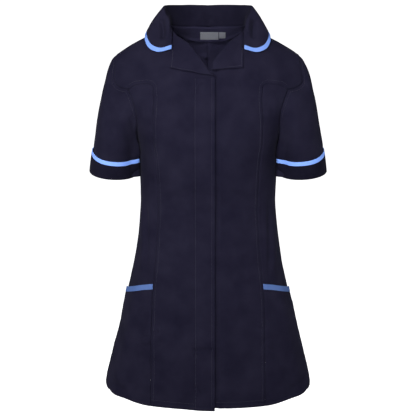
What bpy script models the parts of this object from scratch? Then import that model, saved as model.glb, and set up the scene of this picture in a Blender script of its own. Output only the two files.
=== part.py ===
"""Work tunic with short sleeves, a revere collar and hip pockets, in the hollow shape it has when worn.

Metres, +Z up, the front faces -Y. The origin is between the shoulders at the height of the neck points.
Sides are the wearer's: right is -X. Every cut piece is a thin wall that follows one body form.
"""
import math

import bmesh
import bpy
import numpy as np

# Cloth and seams
WALL = 0.0013
SEAM = 0.0003
LABEL_WALL = 0.0010
LAYER = WALL + SEAM

# Body form: height, half width at the side seam, depth in front, depth behind
BODY = (
    (0.020, 0.2000, 0.0520, 0.0740),
    (-0.030, 0.2000, 0.0680, 0.0840),
    (-0.076, 0.2000, 0.0830, 0.0910),
    (-0.110, 0.1970, 0.0930, 0.0950),
    (-0.150, 0.1810, 0.1020, 0.0980),
    (-0.185, 0.1600, 0.1080, 0.0980),
    (-0.215, 0.1440, 0.1120, 0.0960),
    (-0.245, 0.1365, 0.1135, 0.0940),
    (-0.280, 0.1350, 0.1110, 0.0910),
    (-0.320, 0.1345, 0.1060, 0.0880),
    (-0.345, 0.1343, 0.1040, 0.0880),
    (-0.372, 0.1354, 0.1040, 0.0890),
    (-0.414, 0.1390, 0.1060, 0.0940),
    (-0.456, 0.1452, 0.1100, 0.1010),
    (-0.498, 0.1534, 0.1160, 0.1080),
    (-0.540, 0.1622, 0.1220, 0.1150),
    (-0.584, 0.1715, 0.1280, 0.1210),
    (-0.627, 0.1815, 0.1340, 0.1270),
    (-0.670, 0.1925, 0.1390, 0.1330),
    (-0.714, 0.2035, 0.1440, 0.1380),
    (-0.745, 0.2100, 0.1472, 0.1412),
)
# Top of the shoulders: distance from the middle, height
SHOULDER = (
    (0.000, 0.0200),
    (0.030, 0.0170),
    (0.050, 0.0100),
    (0.070, 0.0010),
    (0.119, -0.0234),
    (0.148, -0.0393),
    (0.161, -0.0469),
    (0.178, -0.0585),
    (0.200, -0.0750),
)
SHOULDER_ROUND = 0.130
SQUARENESS = 2.3
# Largest soft folds: angle from the middle front, height where each starts and is full, half width, rise
FOLDS = (
    (1.04, -0.350, -0.430, 0.12, 0.0022),
    (0.66, -0.480, -0.700, 0.20, 0.0018),
    (2.05, -0.330, -0.520, 0.16, 0.0026),
    (2.62, -0.400, -0.720, 0.20, 0.0050),
)
BUST_X = 0.080
BUST_Z = -0.205
BUST_RISE = 0.007
BUST_SPREAD = 0.055

# Seam lines. Front and back ones give distance from the middle and height.
HEM_SIDE = -0.7352
HEM_LEFT = (
    (-0.0400, -0.7378),
    (0.0000, -0.7378),
    (0.1127, -0.7388),
    (0.1680, -0.7365),
    (0.2100, HEM_SIDE),
)
HEM_RIGHT = (
    (-0.0200, -0.7436),
    (0.0100, -0.7430),
    (0.0550, -0.7395),
    (0.1127, -0.7388),
    (0.1680, -0.7365),
    (0.2100, HEM_SIDE),
)
HEM_BACK = ((0.0000, -0.7385), (0.1200, -0.7375), (0.2100, HEM_SIDE))
PRINCESS_TOP = (
    (0.1050, -0.1068),
    (0.1086, -0.1028),
    (0.1144, -0.1010),
    (0.1261, -0.1028),
    (0.1417, -0.1065),
    (0.1545, -0.1158),
)
PRINCESS_DOWN = (
    (0.1050, -0.1068),
    (0.1039, -0.1211),
    (0.1044, -0.1417),
    (0.1058, -0.1888),
    (0.1038, -0.2291),
    (0.0988, -0.2838),
    (0.0974, -0.3524),
    (0.0994, -0.3850),
    (0.1032, -0.4508),
    (0.1082, -0.5005),
    (0.1112, -0.5886),
    (0.1125, -0.6875),
    (0.1127, -0.7388),
)
ARMHOLE_UPPER = ((0.1784, None), (0.1801, -0.0714), (0.1836, -0.0930), (0.1832, -0.1070))
ARMHOLE_FOLD = ((0.1832, -0.1070), (0.1748, -0.1135), (0.1647, -0.1157), (0.1545, -0.1158))
ARMHOLE_LOWER = (
    (0.1545, -0.1158),
    (0.1476, -0.1345),
    (0.1415, -0.1518),
    (0.1390, -0.1778),
    (0.1392, -0.2034),
    (0.1390, -0.2240),
    (None, -0.2380),
)
ARMHOLE_BACK = (
    (0.1784, None),
    (0.1775, -0.0750),
    (0.1735, -0.0950),
    (0.1650, -0.1250),
    (0.1560, -0.1550),
    (0.1480, -0.1850),
    (0.1425, -0.2100),
    (None, -0.2380),
)
UNDERARM_Z = -0.2380
SHOULDER_TIP_X = 0.1784
SPLIT_X = 0.1000

# Neck seam seen from above: distance from the middle, distance behind the shoulder line
NECK_BACK = (
    (0.0000, 0.0520),
    (0.0253, 0.0490),
    (0.0449, 0.0425),
    (0.0610, 0.0310),
    (0.0705, 0.0150),
    (0.0735, 0.0000),
)
NECK_FRONT = ((0.0735, 0.0000), (0.0720, -0.0120), (0.0680, -0.0238))

# Edge where each front turns back as its lapel: distance from the middle on its own side, height
ROLL_RIGHT = (
    (0.0598, -0.0170),
    (0.0492, -0.0233),
    (0.0396, -0.0290),
    (0.0252, -0.0443),
    (0.0114, -0.0608),
    (-0.0032, -0.0776),
    (-0.0134, -0.0848),
)
ROLL_LEFT = (
    (0.0585, -0.0166),
    (0.0478, -0.0232),
    (0.0380, -0.0307),
    (0.0286, -0.0400),
    (0.0194, -0.0503),
    (0.0120, -0.0608),
    (0.0090, -0.0738),
)
TUCK_LEFT = ((0.0090, -0.0738), (-0.0050, -0.0880), (-0.0280, -0.0970))
LAP = 0.0134
UNDERLAP = 0.0280

# Lapel corners on its own side: outer edge from the gorge down, and the lower edge back to the turn
LAPEL_RIGHT_OUTER = ((0.0656, -0.0379), (0.0700, -0.0570), (0.0722, -0.0722))
LAPEL_RIGHT_LOWER = ((-0.0134, -0.0850), (0.0024, -0.0825), (0.0378, -0.0768), (0.0722, -0.0722))
LAPEL_LEFT_OUTER = ((0.0656, -0.0379), (0.0664, -0.0540), (0.0668, -0.0703))
LAPEL_LEFT_LOWER = ((0.0094, -0.0736), (0.0200, -0.0731), (0.0422, -0.0718), (0.0668, -0.0703))
LAPEL_CURL = 0.00215
LAPEL_REST = 0.0025
LAPEL_START = 0.30
SHOULDER_EASE = 0.0004
TUCK_DEPTH = 0.0027

# Collar, a row for each place round the neck from the back: the top of the roll, then the outer edge
ROLL_TOP = (
    (0.0000, 0.0600, 0.0295),
    (0.0320, 0.0560, 0.0315),
    (0.0590, 0.0380, 0.0340),
    (0.0745, 0.0180, 0.0365),
    (0.0815, 0.0020, 0.0375),
    (0.0830, -0.0080, 0.0340),
    (0.0770, -0.0210, 0.0155),
    (0.0720, -0.0285, -0.0005),
    (0.0684, -0.0285, -0.0045),
)
COLLAR_EDGE = (
    (0.0000, 0.0720),
    (0.0480, 0.0680),
    (0.0860, 0.0560),
    (0.1100, 0.0330),
    (0.1195, 0.0080),
    (0.1196, -0.0150),
    (0.1120, -0.0345),
    (0.0930, -0.0470),
    (0.0688, -0.0505),
)
COLLAR_LIFT = 0.0034
COLLAR_ROLL = 0.0032
TRIM_WIDTH = 0.0100

# Sleeve, a row for each ring: outer point (x, z), inner point (x, z), depth in front, depth behind
SLEEVE = (
    (0.1784, -0.0588, 0.1378, -0.2380, 0.0680, 0.0600),
    (0.1880, -0.0705, 0.1390, -0.2400, 0.0700, 0.0640),
    (0.1965, -0.0884, 0.1396, -0.2430, 0.0720, 0.0680),
    (0.2068, -0.1281, 0.1400, -0.2480, 0.0730, 0.0700),
    (0.2143, -0.1681, 0.1402, -0.2530, 0.0715, 0.0700),
    (0.2215, -0.2084, 0.1403, -0.2580, 0.0685, 0.0680),
    (0.2270, -0.2400, 0.1406, -0.2600, 0.0650, 0.0650),
    (0.2279, -0.2540, 0.1409, -0.2660, 0.0636, 0.0636),
    (0.2340, -0.2888, 0.1418, -0.2950, 0.0620, 0.0620),
)
SLEEVE_BLEND = 0.62
CUFF_TOP = (0.2314, -0.2625, 0.1388, -0.2715, 0.0656, 0.0656)
CUFF_HEM = (0.2360, -0.2897, 0.1400, -0.2960, 0.0642, 0.0642)
TRIM_TOP = (0.2300, -0.2535, 0.1386, -0.2625, 0.0658, 0.0658)

# Placket on the right front, and pockets on the side panels
PLACKET_EDGE = 0.0268
PLACKET_TOP = -0.0882
PLACKET_EASE = 0.0004
POCKET_MOUTH = ((0.0, -0.4965), (0.25, -0.5040), (0.5, -0.5135), (0.75, -0.5230), (1.0, -0.5330))
POCKET_STAND = 0.0032
POCKET_TRIM = 0.0108
POCKET_EASE = 0.0004

# Back neck facing and labels on the inside of the back
FACING_LOW = ((0.0000, -0.0425), (0.0260, -0.0420), (0.0453, -0.0355), (0.0640, -0.0210))
LABEL_EASE = 0.0004
LABEL_BOX = (-0.0155, 0.0208, -0.0205, -0.0375)
TAB_BOX = (0.0222, 0.0352, -0.0205, -0.0345)

# How finely each line is divided
NECK_BACK_STEPS = 8
NECK_FRONT_STEPS = 3
SHOULDER_OUTER_STEPS = 5
SHOULDER_INNER_STEPS = 2
ROLL_STEPS = 8
TUCK_STEPS = 2
YOKE_STEPS = 5
PANEL_STEPS = 24
SIDE_STEPS = 18
PRINCESS_STEPS = 8
FOLD_STEPS = 3
ARMHOLE_STEPS = 6
PLACKET_STEPS = 44
POCKET_STEPS = 9
COLLAR_STEPS = 20
STAND_STEPS = 2
ARC_STEPS = 4
FALL_STEPS = 5

NAVY = (0.021, 0.019, 0.040, 1.0)
SKY = (0.150, 0.220, 0.480, 1.0)
GREY = (0.170, 0.175, 0.185, 1.0)


def clear_scene():
    """Remove every object that is already there."""
    for item in list(bpy.data.objects):
        bpy.data.objects.remove(item, do_unlink=True)


def make_collection(name):
    """Add a collection to the scene."""
    group = bpy.data.collections.new(name)
    bpy.context.scene.collection.children.link(group)
    return group


def smooth_values(known, values, wanted):
    """Values on a smooth line through known places, without overshoot."""
    known = np.asarray(known, dtype=float)
    values = np.asarray(values, dtype=float)
    wanted = np.clip(np.asarray(wanted, dtype=float), known[0], known[-1])
    step = np.diff(known)
    slope = np.diff(values) / step
    product = slope[:-1] * slope[1:]
    total = slope[:-1] + slope[1:]
    safe = np.where(np.abs(total) < 1e-12, 1.0, total)
    inner = np.where(product > 0.0, 2.0 * product / safe, 0.0)
    tangent = np.concatenate([slope[:1], inner, slope[-1:]])
    index = np.clip(np.searchsorted(known, wanted) - 1, 0, len(step) - 1)
    width = step[index]
    part = (wanted - known[index]) / width
    start = (1.0 + 2.0 * part) * (1.0 - part) ** 2 * values[index]
    lead = part * (1.0 - part) ** 2 * width * tangent[index]
    end = part * part * (3.0 - 2.0 * part) * values[index + 1]
    trail = part * part * (part - 1.0) * width * tangent[index + 1]
    return start + lead + end + trail


def table_value(table, column, place):
    """One column of a table read at a place in its first column."""
    rows = sorted(table)
    return smooth_values([row[0] for row in rows], [row[column] for row in rows], place)


def smooth_step(low, high, value):
    """A soft rise from 0 at low to 1 at high."""
    part = np.clip((np.asarray(value, dtype=float) - low) / (high - low), 0.0, 1.0)
    return part * part * (3.0 - 2.0 * part)


def drop_of(travel):
    """Height lost after travelling over the round of the shoulder, and the share of depth reached."""
    turn = np.clip(np.asarray(travel, dtype=float) / SHOULDER_ROUND, 0.0, math.pi / 2.0)
    past = np.maximum(np.asarray(travel, dtype=float) - SHOULDER_ROUND * math.pi / 2.0, 0.0)
    return SHOULDER_ROUND * (1.0 - np.cos(turn)) + past, np.sin(turn)


def travel_of(drop):
    """Distance travelled over the shoulder for a height lost."""
    drop = np.maximum(np.asarray(drop, dtype=float), 0.0)
    turned = SHOULDER_ROUND * np.arccos(np.clip(1.0 - drop / SHOULDER_ROUND, 0.0, 1.0))
    return np.where(drop < SHOULDER_ROUND, turned, SHOULDER_ROUND * math.pi / 2.0 + drop - SHOULDER_ROUND)


def fold_rise(turn, height):
    """How far the largest folds stand out at an angle and a height."""
    total = np.zeros_like(turn)
    for centre, start, full, width, rise in FOLDS:
        shape = np.exp(-((turn - centre) / width) ** 2)
        total = total + rise * shape * smooth_step(start, full, height)
    return total


def body_surface(places):
    """Points of the body form: a place is an angle from the middle front and a travel down from the shoulder."""
    places = np.asarray(places, dtype=float)
    angle = places[..., 0]
    drop, reach = drop_of(places[..., 1])
    sign = np.sign(angle)
    turn = np.clip(np.abs(angle), 0.0, math.pi)
    across = np.abs(np.sin(turn)) ** (2.0 / SQUARENESS)
    along = np.abs(np.cos(turn)) ** (2.0 / SQUARENESS)
    front = turn <= math.pi / 2.0
    height = -drop
    for _ in range(30):
        side = table_value(BODY, 1, height) * across
        height = 0.5 * height + 0.5 * (table_value(SHOULDER, 1, side) - drop)
    side = table_value(BODY, 1, height) * across
    depth_front = table_value(BODY, 2, height)
    depth_back = table_value(BODY, 3, height)
    bust = np.exp(-((side - BUST_X) ** 2 + (height - BUST_Z) ** 2) / BUST_SPREAD ** 2)
    depth = np.where(front, -(depth_front + BUST_RISE * bust), depth_back) * along * reach
    swell = 1.0 + fold_rise(turn, height) / 0.12
    return np.stack([sign * side * swell, depth * swell, height], axis=-1)


def body_normals(places):
    """Outward direction of the body form at each place."""
    places = np.asarray(places, dtype=float)
    small = 0.0004
    turn = np.zeros_like(places)
    turn[..., 0] = small / 0.12
    fall = np.zeros_like(places)
    fall[..., 1] = small
    across = body_surface(places + turn) - body_surface(places - turn)
    raised = places.copy()
    raised[..., 1] = np.maximum(places[..., 1] - small, 0.0)
    down = body_surface(places + fall) - body_surface(raised)
    normal = np.cross(down, across)
    length = np.linalg.norm(normal, axis=-1, keepdims=True)
    return normal / np.maximum(length, 1e-12)


def place_at(side, height, back=False):
    """Place of a front or back point from its distance from the middle and its height.

    None for the side means the side seam, and None for the height means the top of the shoulder.
    """
    if side is None:
        drop = table_value(SHOULDER, 1, table_value(BODY, 1, height)) - height
        return (math.pi / 2.0, float(travel_of(drop)))
    if height is None:
        height = table_value(SHOULDER, 1, abs(side))
    share = min(abs(side) / table_value(BODY, 1, height), 1.0)
    angle = math.asin(share ** (SQUARENESS / 2.0))
    if back:
        angle = math.pi - angle
    travel = float(travel_of(table_value(SHOULDER, 1, abs(side)) - height))
    return (math.copysign(angle, side), travel)


def place_above(side, behind, back):
    """Place of a point near the neck from its distance from the middle and its distance behind."""
    column = 3 if back else 2
    height = float(table_value(SHOULDER, 1, abs(side)))
    top = height
    share = 0.0
    for _ in range(40):
        width = table_value(BODY, 1, height)
        angle = math.asin(min(abs(side) / width, 1.0) ** (SQUARENESS / 2.0))
        along = math.cos(angle) ** (2.0 / SQUARENESS)
        share = min(abs(behind) / (table_value(BODY, column, height) * along), 1.0)
        height = 0.5 * height + 0.5 * (top - SHOULDER_ROUND * (1.0 - math.sqrt(1.0 - share * share)))
    if back:
        angle = math.pi - angle
    return (math.copysign(angle, side), SHOULDER_ROUND * math.asin(share))


def length_of(places):
    """Distance along a line of places, from its start."""
    flat = np.asarray(places, dtype=float) * np.array([0.13, 1.0])
    return np.concatenate([[0.0], np.cumsum(np.linalg.norm(np.diff(flat, axis=0), axis=1))])


def line(places, steps):
    """Evenly spaced places on a smooth line."""
    places = np.asarray(places, dtype=float)
    known = length_of(places)
    wanted = np.linspace(0.0, 1.0, steps + 1) * known[-1]
    columns = [smooth_values(known, places[:, axis], wanted) for axis in range(places.shape[1])]
    return np.stack(columns, axis=-1)


def hem_line(rows, start, end, steps, back=False):
    """The hem from one distance from the middle to another; None as the end means the side seam."""
    last = 0.2060 if end is None else end
    places = []
    for side in np.linspace(start, last, 12):
        places.append(place_at(float(side), float(table_value(rows, 1, side)), back))
    if end is None:
        places[-1] = place_at(None, HEM_SIDE)
    return line(places, steps)


def join(*lines):
    """One line from several that meet end to end."""
    parts = [lines[0]]
    for item in lines[1:]:
        parts.append(item[1:])
    return np.concatenate(parts)


def fill(top, bottom, left, right):
    """Grid of values between four edges: rows run from top to bottom, columns from left to right."""
    across = np.linspace(0.0, 1.0, len(top))
    top_share = length_share(top)
    bottom_share = length_share(bottom)
    left_share = length_share(left)
    right_share = length_share(right)
    rows = len(left)
    down = np.linspace(0.0, 1.0, rows)
    grid = np.zeros((rows, len(top), top.shape[1]))
    for row in range(rows):
        for column in range(len(top)):
            u = (1.0 - down[row]) * top_share[column] + down[row] * bottom_share[column]
            v = (1.0 - across[column]) * left_share[row] + across[column] * right_share[row]
            edges = (1.0 - v) * top[column] + v * bottom[column]
            edges = edges + (1.0 - u) * left[row] + u * right[row]
            corners = (1.0 - v) * ((1.0 - u) * top[0] + u * top[-1])
            corners = corners + v * ((1.0 - u) * bottom[0] + u * bottom[-1])
            grid[row, column] = edges - corners
    return grid


def length_share(places):
    """Share of the whole length reached at each place of a line."""
    if places.shape[1] == 2:
        total = length_of(places)
    else:
        total = np.concatenate([[0.0], np.cumsum(np.linalg.norm(np.diff(places, axis=0), axis=1))])
    return total / max(total[-1], 1e-9)


def inset(points, amounts):
    """Draw the edges of a grid of points inwards: amounts are for the top, bottom, left and right."""
    top, bottom, left, right = amounts
    result = points.copy()
    moves = (
        (top, np.s_[0], np.s_[1]),
        (bottom, np.s_[-1], np.s_[-2]),
        (left, np.s_[:, 0], np.s_[:, 1]),
        (right, np.s_[:, -1], np.s_[:, -2]),
    )
    for amount, edge, inner in moves:
        if amount == 0.0:
            continue
        rim = points[edge]
        run = np.gradient(rim, axis=0)
        run = run / np.maximum(np.linalg.norm(run, axis=1, keepdims=True), 1e-12)
        inward = points[inner] - rim
        inward = inward - run * np.sum(inward * run, axis=1, keepdims=True)
        inward = inward / np.maximum(np.linalg.norm(inward, axis=1, keepdims=True), 1e-12)
        result[edge] = result[edge] + inward * amount
    return result


def sampled(grid, row, column):
    """Value of a grid at a row and a column that may lie between its own."""
    rows, columns = grid.shape[:2]
    top = min(int(row), rows - 2)
    left = min(int(column), columns - 2)
    down = row - top
    across = column - left
    upper = grid[top, left] * (1.0 - across) + grid[top, left + 1] * across
    lower = grid[top + 1, left] * (1.0 - across) + grid[top + 1, left + 1] * across
    return upper * (1.0 - down) + lower * down


def mirror(points):
    """The same points on the other side of the body."""
    return points * np.array([-1.0, 1.0, 1.0])


def unchanged(points):
    """The points as they are, for the side that is not mirrored."""
    return points


def moved_out(places, distance):
    """Points of the body form moved out along its outward direction."""
    points = body_surface(places)
    distance = np.asarray(distance, dtype=float)
    if distance.ndim:
        distance = distance[..., None]
    return points + body_normals(places) * distance


def material(name, color):
    """A plain cloth material."""
    finish = bpy.data.materials.new(name)
    finish.use_nodes = True
    shader = finish.node_tree.nodes["Principled BSDF"]
    shader.inputs["Base Color"].default_value = color
    shader.inputs["Roughness"].default_value = 0.85
    finish.diffuse_color = color
    return finish


def add_sheet(name, grids, wall, color, outward, closed=False):
    """Add one cloth piece: grids of outer points, joined where they touch, with its wall on the inside."""
    mesh = bpy.data.meshes.new(name)
    builder = bmesh.new()
    for grid in grids:
        rows, columns = grid.shape[:2]
        made = []
        for row in range(rows):
            made.append([builder.verts.new(grid[row, column]) for column in range(columns)])
        last = columns if closed else columns - 1
        for row in range(rows - 1):
            for column in range(last):
                beside = (column + 1) % columns
                above, below = made[row], made[row + 1]
                builder.faces.new((above[column], below[column], below[beside], above[beside]))
    bmesh.ops.remove_doubles(builder, verts=builder.verts, dist=0.00002)
    bmesh.ops.recalc_face_normals(builder, faces=builder.faces)
    builder.faces.ensure_lookup_table()
    middle = builder.faces[len(builder.faces) // 2]
    facing = np.array(middle.normal)
    wanted = np.asarray(outward(np.array(middle.calc_center_median())), dtype=float)
    if float(facing @ wanted) < 0.0:
        bmesh.ops.reverse_faces(builder, faces=builder.faces)
    builder.to_mesh(mesh)
    builder.free()
    item = bpy.data.objects.new(name, mesh)
    mesh.materials.append(material(name + "_cloth", color))
    solid = item.modifiers.new("wall", "SOLIDIFY")
    solid.thickness = wall
    solid.offset = -1.0
    solid.use_even_offset = False
    solid.use_rim = True
    GARMENT.objects.link(item)
    return item


def away_from_axis(point):
    """Direction from the upright middle of the body."""
    return np.array([point[0], point[1], 0.0])


def turn_line(roll):
    """The edge where a front turns back, from the end of the neck seam down."""
    return line([NECK_END] + [place_at(*row) for row in roll], ROLL_STEPS)


def front_lines(roll, tuck, centre, hem_rows):
    """The edges of a centre front on its own side: top, hem, centre edge and outer edge."""
    neck = line([place_above(*row, False) for row in NECK_FRONT], NECK_FRONT_STEPS)
    turn = turn_line(roll)
    if tuck:
        turn = join(turn, line([place_at(*row) for row in tuck], TUCK_STEPS))
    shoulder = line([place_at(row, None) for row in (0.0735, 0.0860, SPLIT_X)], SHOULDER_INNER_STEPS)
    top = join(turn[::-1], neck[::-1], shoulder)
    hem = hem_line(hem_rows, centre, PRINCESS_DOWN[-1][0], len(top) - 1)
    start = tuck[-1] if tuck else roll[-1]
    heights = np.linspace(start[1], float(table_value(hem_rows, 1, centre)), 12)
    edge = line([place_at(centre, float(height)) for height in heights], YOKE_STEPS + PANEL_STEPS)
    yoke = line([place_at(SPLIT_X, None), place_at(0.1020, -0.0450), place_at(0.1050, -0.1068)], YOKE_STEPS)
    princess = line([place_at(*row) for row in PRINCESS_DOWN], PANEL_STEPS)
    return top, hem, edge, join(yoke, princess)


def centre_front_places(roll, tuck, centre, hem_rows):
    """The two grids of a centre front: the main one, and the one out to the armhole."""
    top, hem, edge, outer = front_lines(roll, tuck, centre, hem_rows)
    main = fill(top, hem, edge, outer)
    shoulder = line([place_at(side, None) for side in (SPLIT_X, 0.1400, SHOULDER_TIP_X)], SHOULDER_OUTER_STEPS)
    armhole = line([place_at(*row) for row in ARMHOLE_UPPER], YOKE_STEPS)
    fold = line([place_at(*row) for row in ARMHOLE_FOLD], FOLD_STEPS)
    princess = line([place_at(*row) for row in PRINCESS_TOP], PRINCESS_STEPS)
    lower = join(princess, fold[::-1])
    top_outer = line(shoulder, len(lower) - 1)
    yoke = fill(top_outer, lower, outer[: YOKE_STEPS + 1], armhole)
    return main, yoke


def side_front_places():
    """Grid of a side front, from the princess seam to the side seam."""
    top = line([place_at(*row) for row in PRINCESS_TOP], PRINCESS_STEPS)
    armhole = line([place_at(*row) for row in ARMHOLE_LOWER], ARMHOLE_STEPS)
    princess = line([place_at(*row) for row in PRINCESS_DOWN], PANEL_STEPS)
    hem = hem_line(HEM_LEFT, PRINCESS_DOWN[-1][0], None, PRINCESS_STEPS)
    return fill(top, hem, princess, join(armhole, side_seam_places()))


def side_seam_places():
    """The side seam from the underarm to the hem."""
    heights = np.linspace(UNDERARM_Z, HEM_SIDE, 12)
    return line([place_at(None, float(height)) for height in heights], SIDE_STEPS)


def armhole_back_places():
    """The armhole seam behind, from the shoulder tip down to the side seam."""
    places = [place_at(side, height, True) for side, height in ARMHOLE_BACK[:-1]]
    return line(places + [place_at(*ARMHOLE_BACK[-1])], ARMHOLE_STEPS + 2)


def back_places():
    """Grid of one half of the back, from the middle of the back to the armhole and side seam."""
    neck = line([place_above(*row, True) for row in NECK_BACK], NECK_BACK_STEPS)
    inner = line([place_at(row, None, True) for row in (0.0735, 0.0860, SPLIT_X)], SHOULDER_INNER_STEPS)
    outer = line([place_at(row, None, True) for row in (SPLIT_X, 0.1400, SHOULDER_TIP_X)], SHOULDER_OUTER_STEPS)
    top = join(neck, inner, outer)
    edge = join(armhole_back_places(), side_seam_places())
    hem = hem_line(HEM_BACK, 0.0, None, len(top) - 1, True)
    middle = line([tuple(top[0]), tuple(hem[0])], len(edge) - 1)
    return fill(top, hem, middle, edge)


def build_fronts():
    """The two centre fronts. The left one steps in where the right one laps over it."""
    main, yoke = centre_front_places(ROLL_RIGHT, (), -LAP, HEM_RIGHT)
    right = [mirror(body_surface(main)), mirror(body_surface(yoke))]
    add_sheet("centre_front_right", trimmed_front(right), WALL, NAVY, away_from_axis)
    main, yoke = centre_front_places(ROLL_LEFT, TUCK_LEFT, -UNDERLAP, HEM_LEFT)
    points = body_surface(main)
    step = smooth_step(0.034, 0.019, points[..., 0]) * smooth_step(-0.0560, -0.0700, points[..., 2])
    left = [moved_out(main, -TUCK_DEPTH * step), body_surface(yoke)]
    add_sheet("centre_front_left", trimmed_front(left), WALL, NAVY, away_from_axis)


def trimmed_front(grids):
    """Leave half a seam at the edges of a centre front's two grids, which stay joined to each other."""
    main, yoke = grids
    half = SEAM / 2.0
    whole = inset(main, (half, 0.0, 0.0, 0.0))
    first = main.shape[1] - 1 - SHOULDER_INNER_STEPS
    whole[0, first:] = inset(main, (SHOULDER_EASE, 0.0, 0.0, 0.0))[0, first:]
    split = YOKE_STEPS
    lower = inset(main[split:], (0.0, 0.0, 0.0, half))
    whole[split:, -1] = lower[:, -1]
    outer = inset(yoke, (SHOULDER_EASE, half, 0.0, half))
    outer[:, 0] = whole[: split + 1, -1]
    outer[0, 0] = whole[0, -1]
    return [whole, outer]


def build_side_fronts():
    """The two side fronts."""
    half = SEAM / 2.0
    points = inset(body_surface(side_front_places()), (half, 0.0, half, half))
    add_sheet("side_front_right", [mirror(points)], WALL, NAVY, away_from_axis)
    add_sheet("side_front_left", [points], WALL, NAVY, away_from_axis)


def build_back():
    """The two halves of the back, which meet at the middle seam."""
    half = SEAM / 2.0
    whole = body_surface(back_places())
    points = inset(whole, (half, 0.0, half, half))
    points[0, NECK_BACK_STEPS:] = inset(whole, (SHOULDER_EASE, 0.0, 0.0, half))[0, NECK_BACK_STEPS:]
    add_sheet("back_right", [mirror(points)], WALL, NAVY, away_from_axis)
    add_sheet("back_left", [points], WALL, NAVY, away_from_axis)


def armhole_loop():
    """The armhole seam all round, from the shoulder tip down the front and up the back."""
    upper = line([place_at(*row) for row in ARMHOLE_UPPER], YOKE_STEPS)
    fold = line([place_at(*row) for row in ARMHOLE_FOLD], FOLD_STEPS)
    lower = line([place_at(*row) for row in ARMHOLE_LOWER], ARMHOLE_STEPS)
    front = join(upper, fold, lower)
    return body_surface(front), body_surface(armhole_back_places()[::-1])


def sleeve_ring(row, shares):
    """A ring of the sleeve. Shares run from 0 at the outer point through 0.5 at the inner point to 1."""
    outer = np.array([row[0], 0.0, row[1]])
    inner = np.array([row[2], 0.0, row[3]])
    turn = np.asarray(shares) * 2.0 * math.pi
    depth = np.where(np.asarray(shares) <= 0.5, -row[4], row[5])
    middle = (outer + inner) / 2.0
    reach = (outer - inner) / 2.0
    across = np.cos(turn)[:, None] * reach
    ahead = np.abs(np.sin(turn)) ** 0.92
    return middle + across + np.stack([np.zeros_like(turn), ahead * depth, np.zeros_like(turn)], axis=-1)


def sleeve_points():
    """Rings of the sleeve from the armhole to the fold of its hem."""
    front, back = armhole_loop()
    front_share = length_share(front) * 0.5
    back_share = 0.5 + length_share(back) * 0.5
    shares = np.concatenate([front_share, back_share[1:-1]])
    loop = np.concatenate([front, back[1:-1]])
    first = sleeve_ring(SLEEVE[0], shares)
    table = [(index / (len(SLEEVE) - 1),) + row for index, row in enumerate(SLEEVE)]
    rings = []
    for share in np.linspace(0.0, 1.0, len(SLEEVE)):
        row = [float(table_value(table, column, share)) for column in range(1, 7)]
        ring = sleeve_ring(row, shares)
        keep = 1.0 - smooth_step(0.0, SLEEVE_BLEND, share)
        rings.append(ring + keep * (loop - first))
    points = np.stack(rings)
    lead = points[1] - points[0]
    lead = lead / np.linalg.norm(lead, axis=1, keepdims=True)
    points[0] = points[0] + lead * SEAM * 4.0
    return points, shares


def band_between(top, bottom, shares, steps):
    """Rings from one row of sizes to another."""
    rows = []
    for share in np.linspace(0.0, 1.0, steps + 1):
        row = [(1.0 - share) * a + share * b for a, b in zip(top, bottom)]
        rows.append(sleeve_ring(row, shares))
    return np.stack(rows)


def from_left_sleeve(point):
    """Direction away from the middle of a left sleeve."""
    return np.array([point[0] - 0.187, point[1], 0.0])


def from_right_sleeve(point):
    """Direction away from the middle of a right sleeve."""
    return np.array([point[0] + 0.187, point[1], 0.0])


def build_sleeves():
    """Sleeves, turned-up cuffs and the bands at the top of the cuffs."""
    points, shares = sleeve_points()
    cuff = band_between(CUFF_TOP, CUFF_HEM, shares, 2)
    band = band_between(TRIM_TOP, CUFF_TOP, shares, 1)
    gap = (band[0] - band[1]) / np.linalg.norm(band[0] - band[1], axis=1, keepdims=True)
    band[1] = band[1] + gap * SEAM
    for side, turn, outward in (("left", unchanged, from_left_sleeve), ("right", mirror, from_right_sleeve)):
        add_sheet("sleeve_" + side, [turn(points)], WALL, NAVY, outward, closed=True)
        add_sheet("cuff_" + side, [turn(cuff)], WALL, NAVY, outward, closed=True)
        add_sheet("cuff_trim_" + side, [turn(band)], WALL, SKY, outward, closed=True)


def lapel_points(roll, outer_edge, lower_edge, mirrored):
    """Grid of a lapel: rows run down from the gorge, columns from the turn to the outer edge."""
    turn = turn_line(roll)
    turn[0] = turn[0] + (turn[1] - turn[0]) * LAPEL_START
    lower = line([place_at(*row) for row in lower_edge], 7)
    outer = line([place_at(*row) for row in outer_edge], ROLL_STEPS)
    gorge = line([tuple(turn[0]), place_at(*outer_edge[0])], 7)
    places = fill(gorge, lower, turn, outer)
    rows = places.shape[0]
    points = body_surface(places)
    normals = body_normals(places)
    away = points[:, 0] - points[:, 1]
    away = away - normals[:, 0] * np.sum(away * normals[:, 0], axis=1, keepdims=True)
    away = away / np.linalg.norm(away, axis=1, keepdims=True)
    grid = []
    for row in range(rows):
        base = points[row, 0] + away[row] * SEAM
        up = normals[row, 0]
        middle = (LAPEL_CURL * 2.0 - WALL) / 2.0 - WALL / 2.0
        ring = []
        for turn_angle in np.linspace(-90.0, 90.0, 6):
            angle = math.radians(turn_angle)
            raised = up * (middle + LAPEL_CURL * math.sin(angle))
            ring.append(base + away[row] * LAPEL_CURL * math.cos(angle) + raised)
        reach = length_share(points[row])
        for column in range(1, points.shape[1]):
            high = middle + LAPEL_CURL
            lift = LAPEL_REST + (high - LAPEL_REST) * (1.0 - smooth_step(0.0, 0.6, reach[column]))
            ring.append(points[row, column] + normals[row, column] * lift)
        grid.append(ring)
    result = np.array(grid)
    return mirror(result) if mirrored else result


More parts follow.
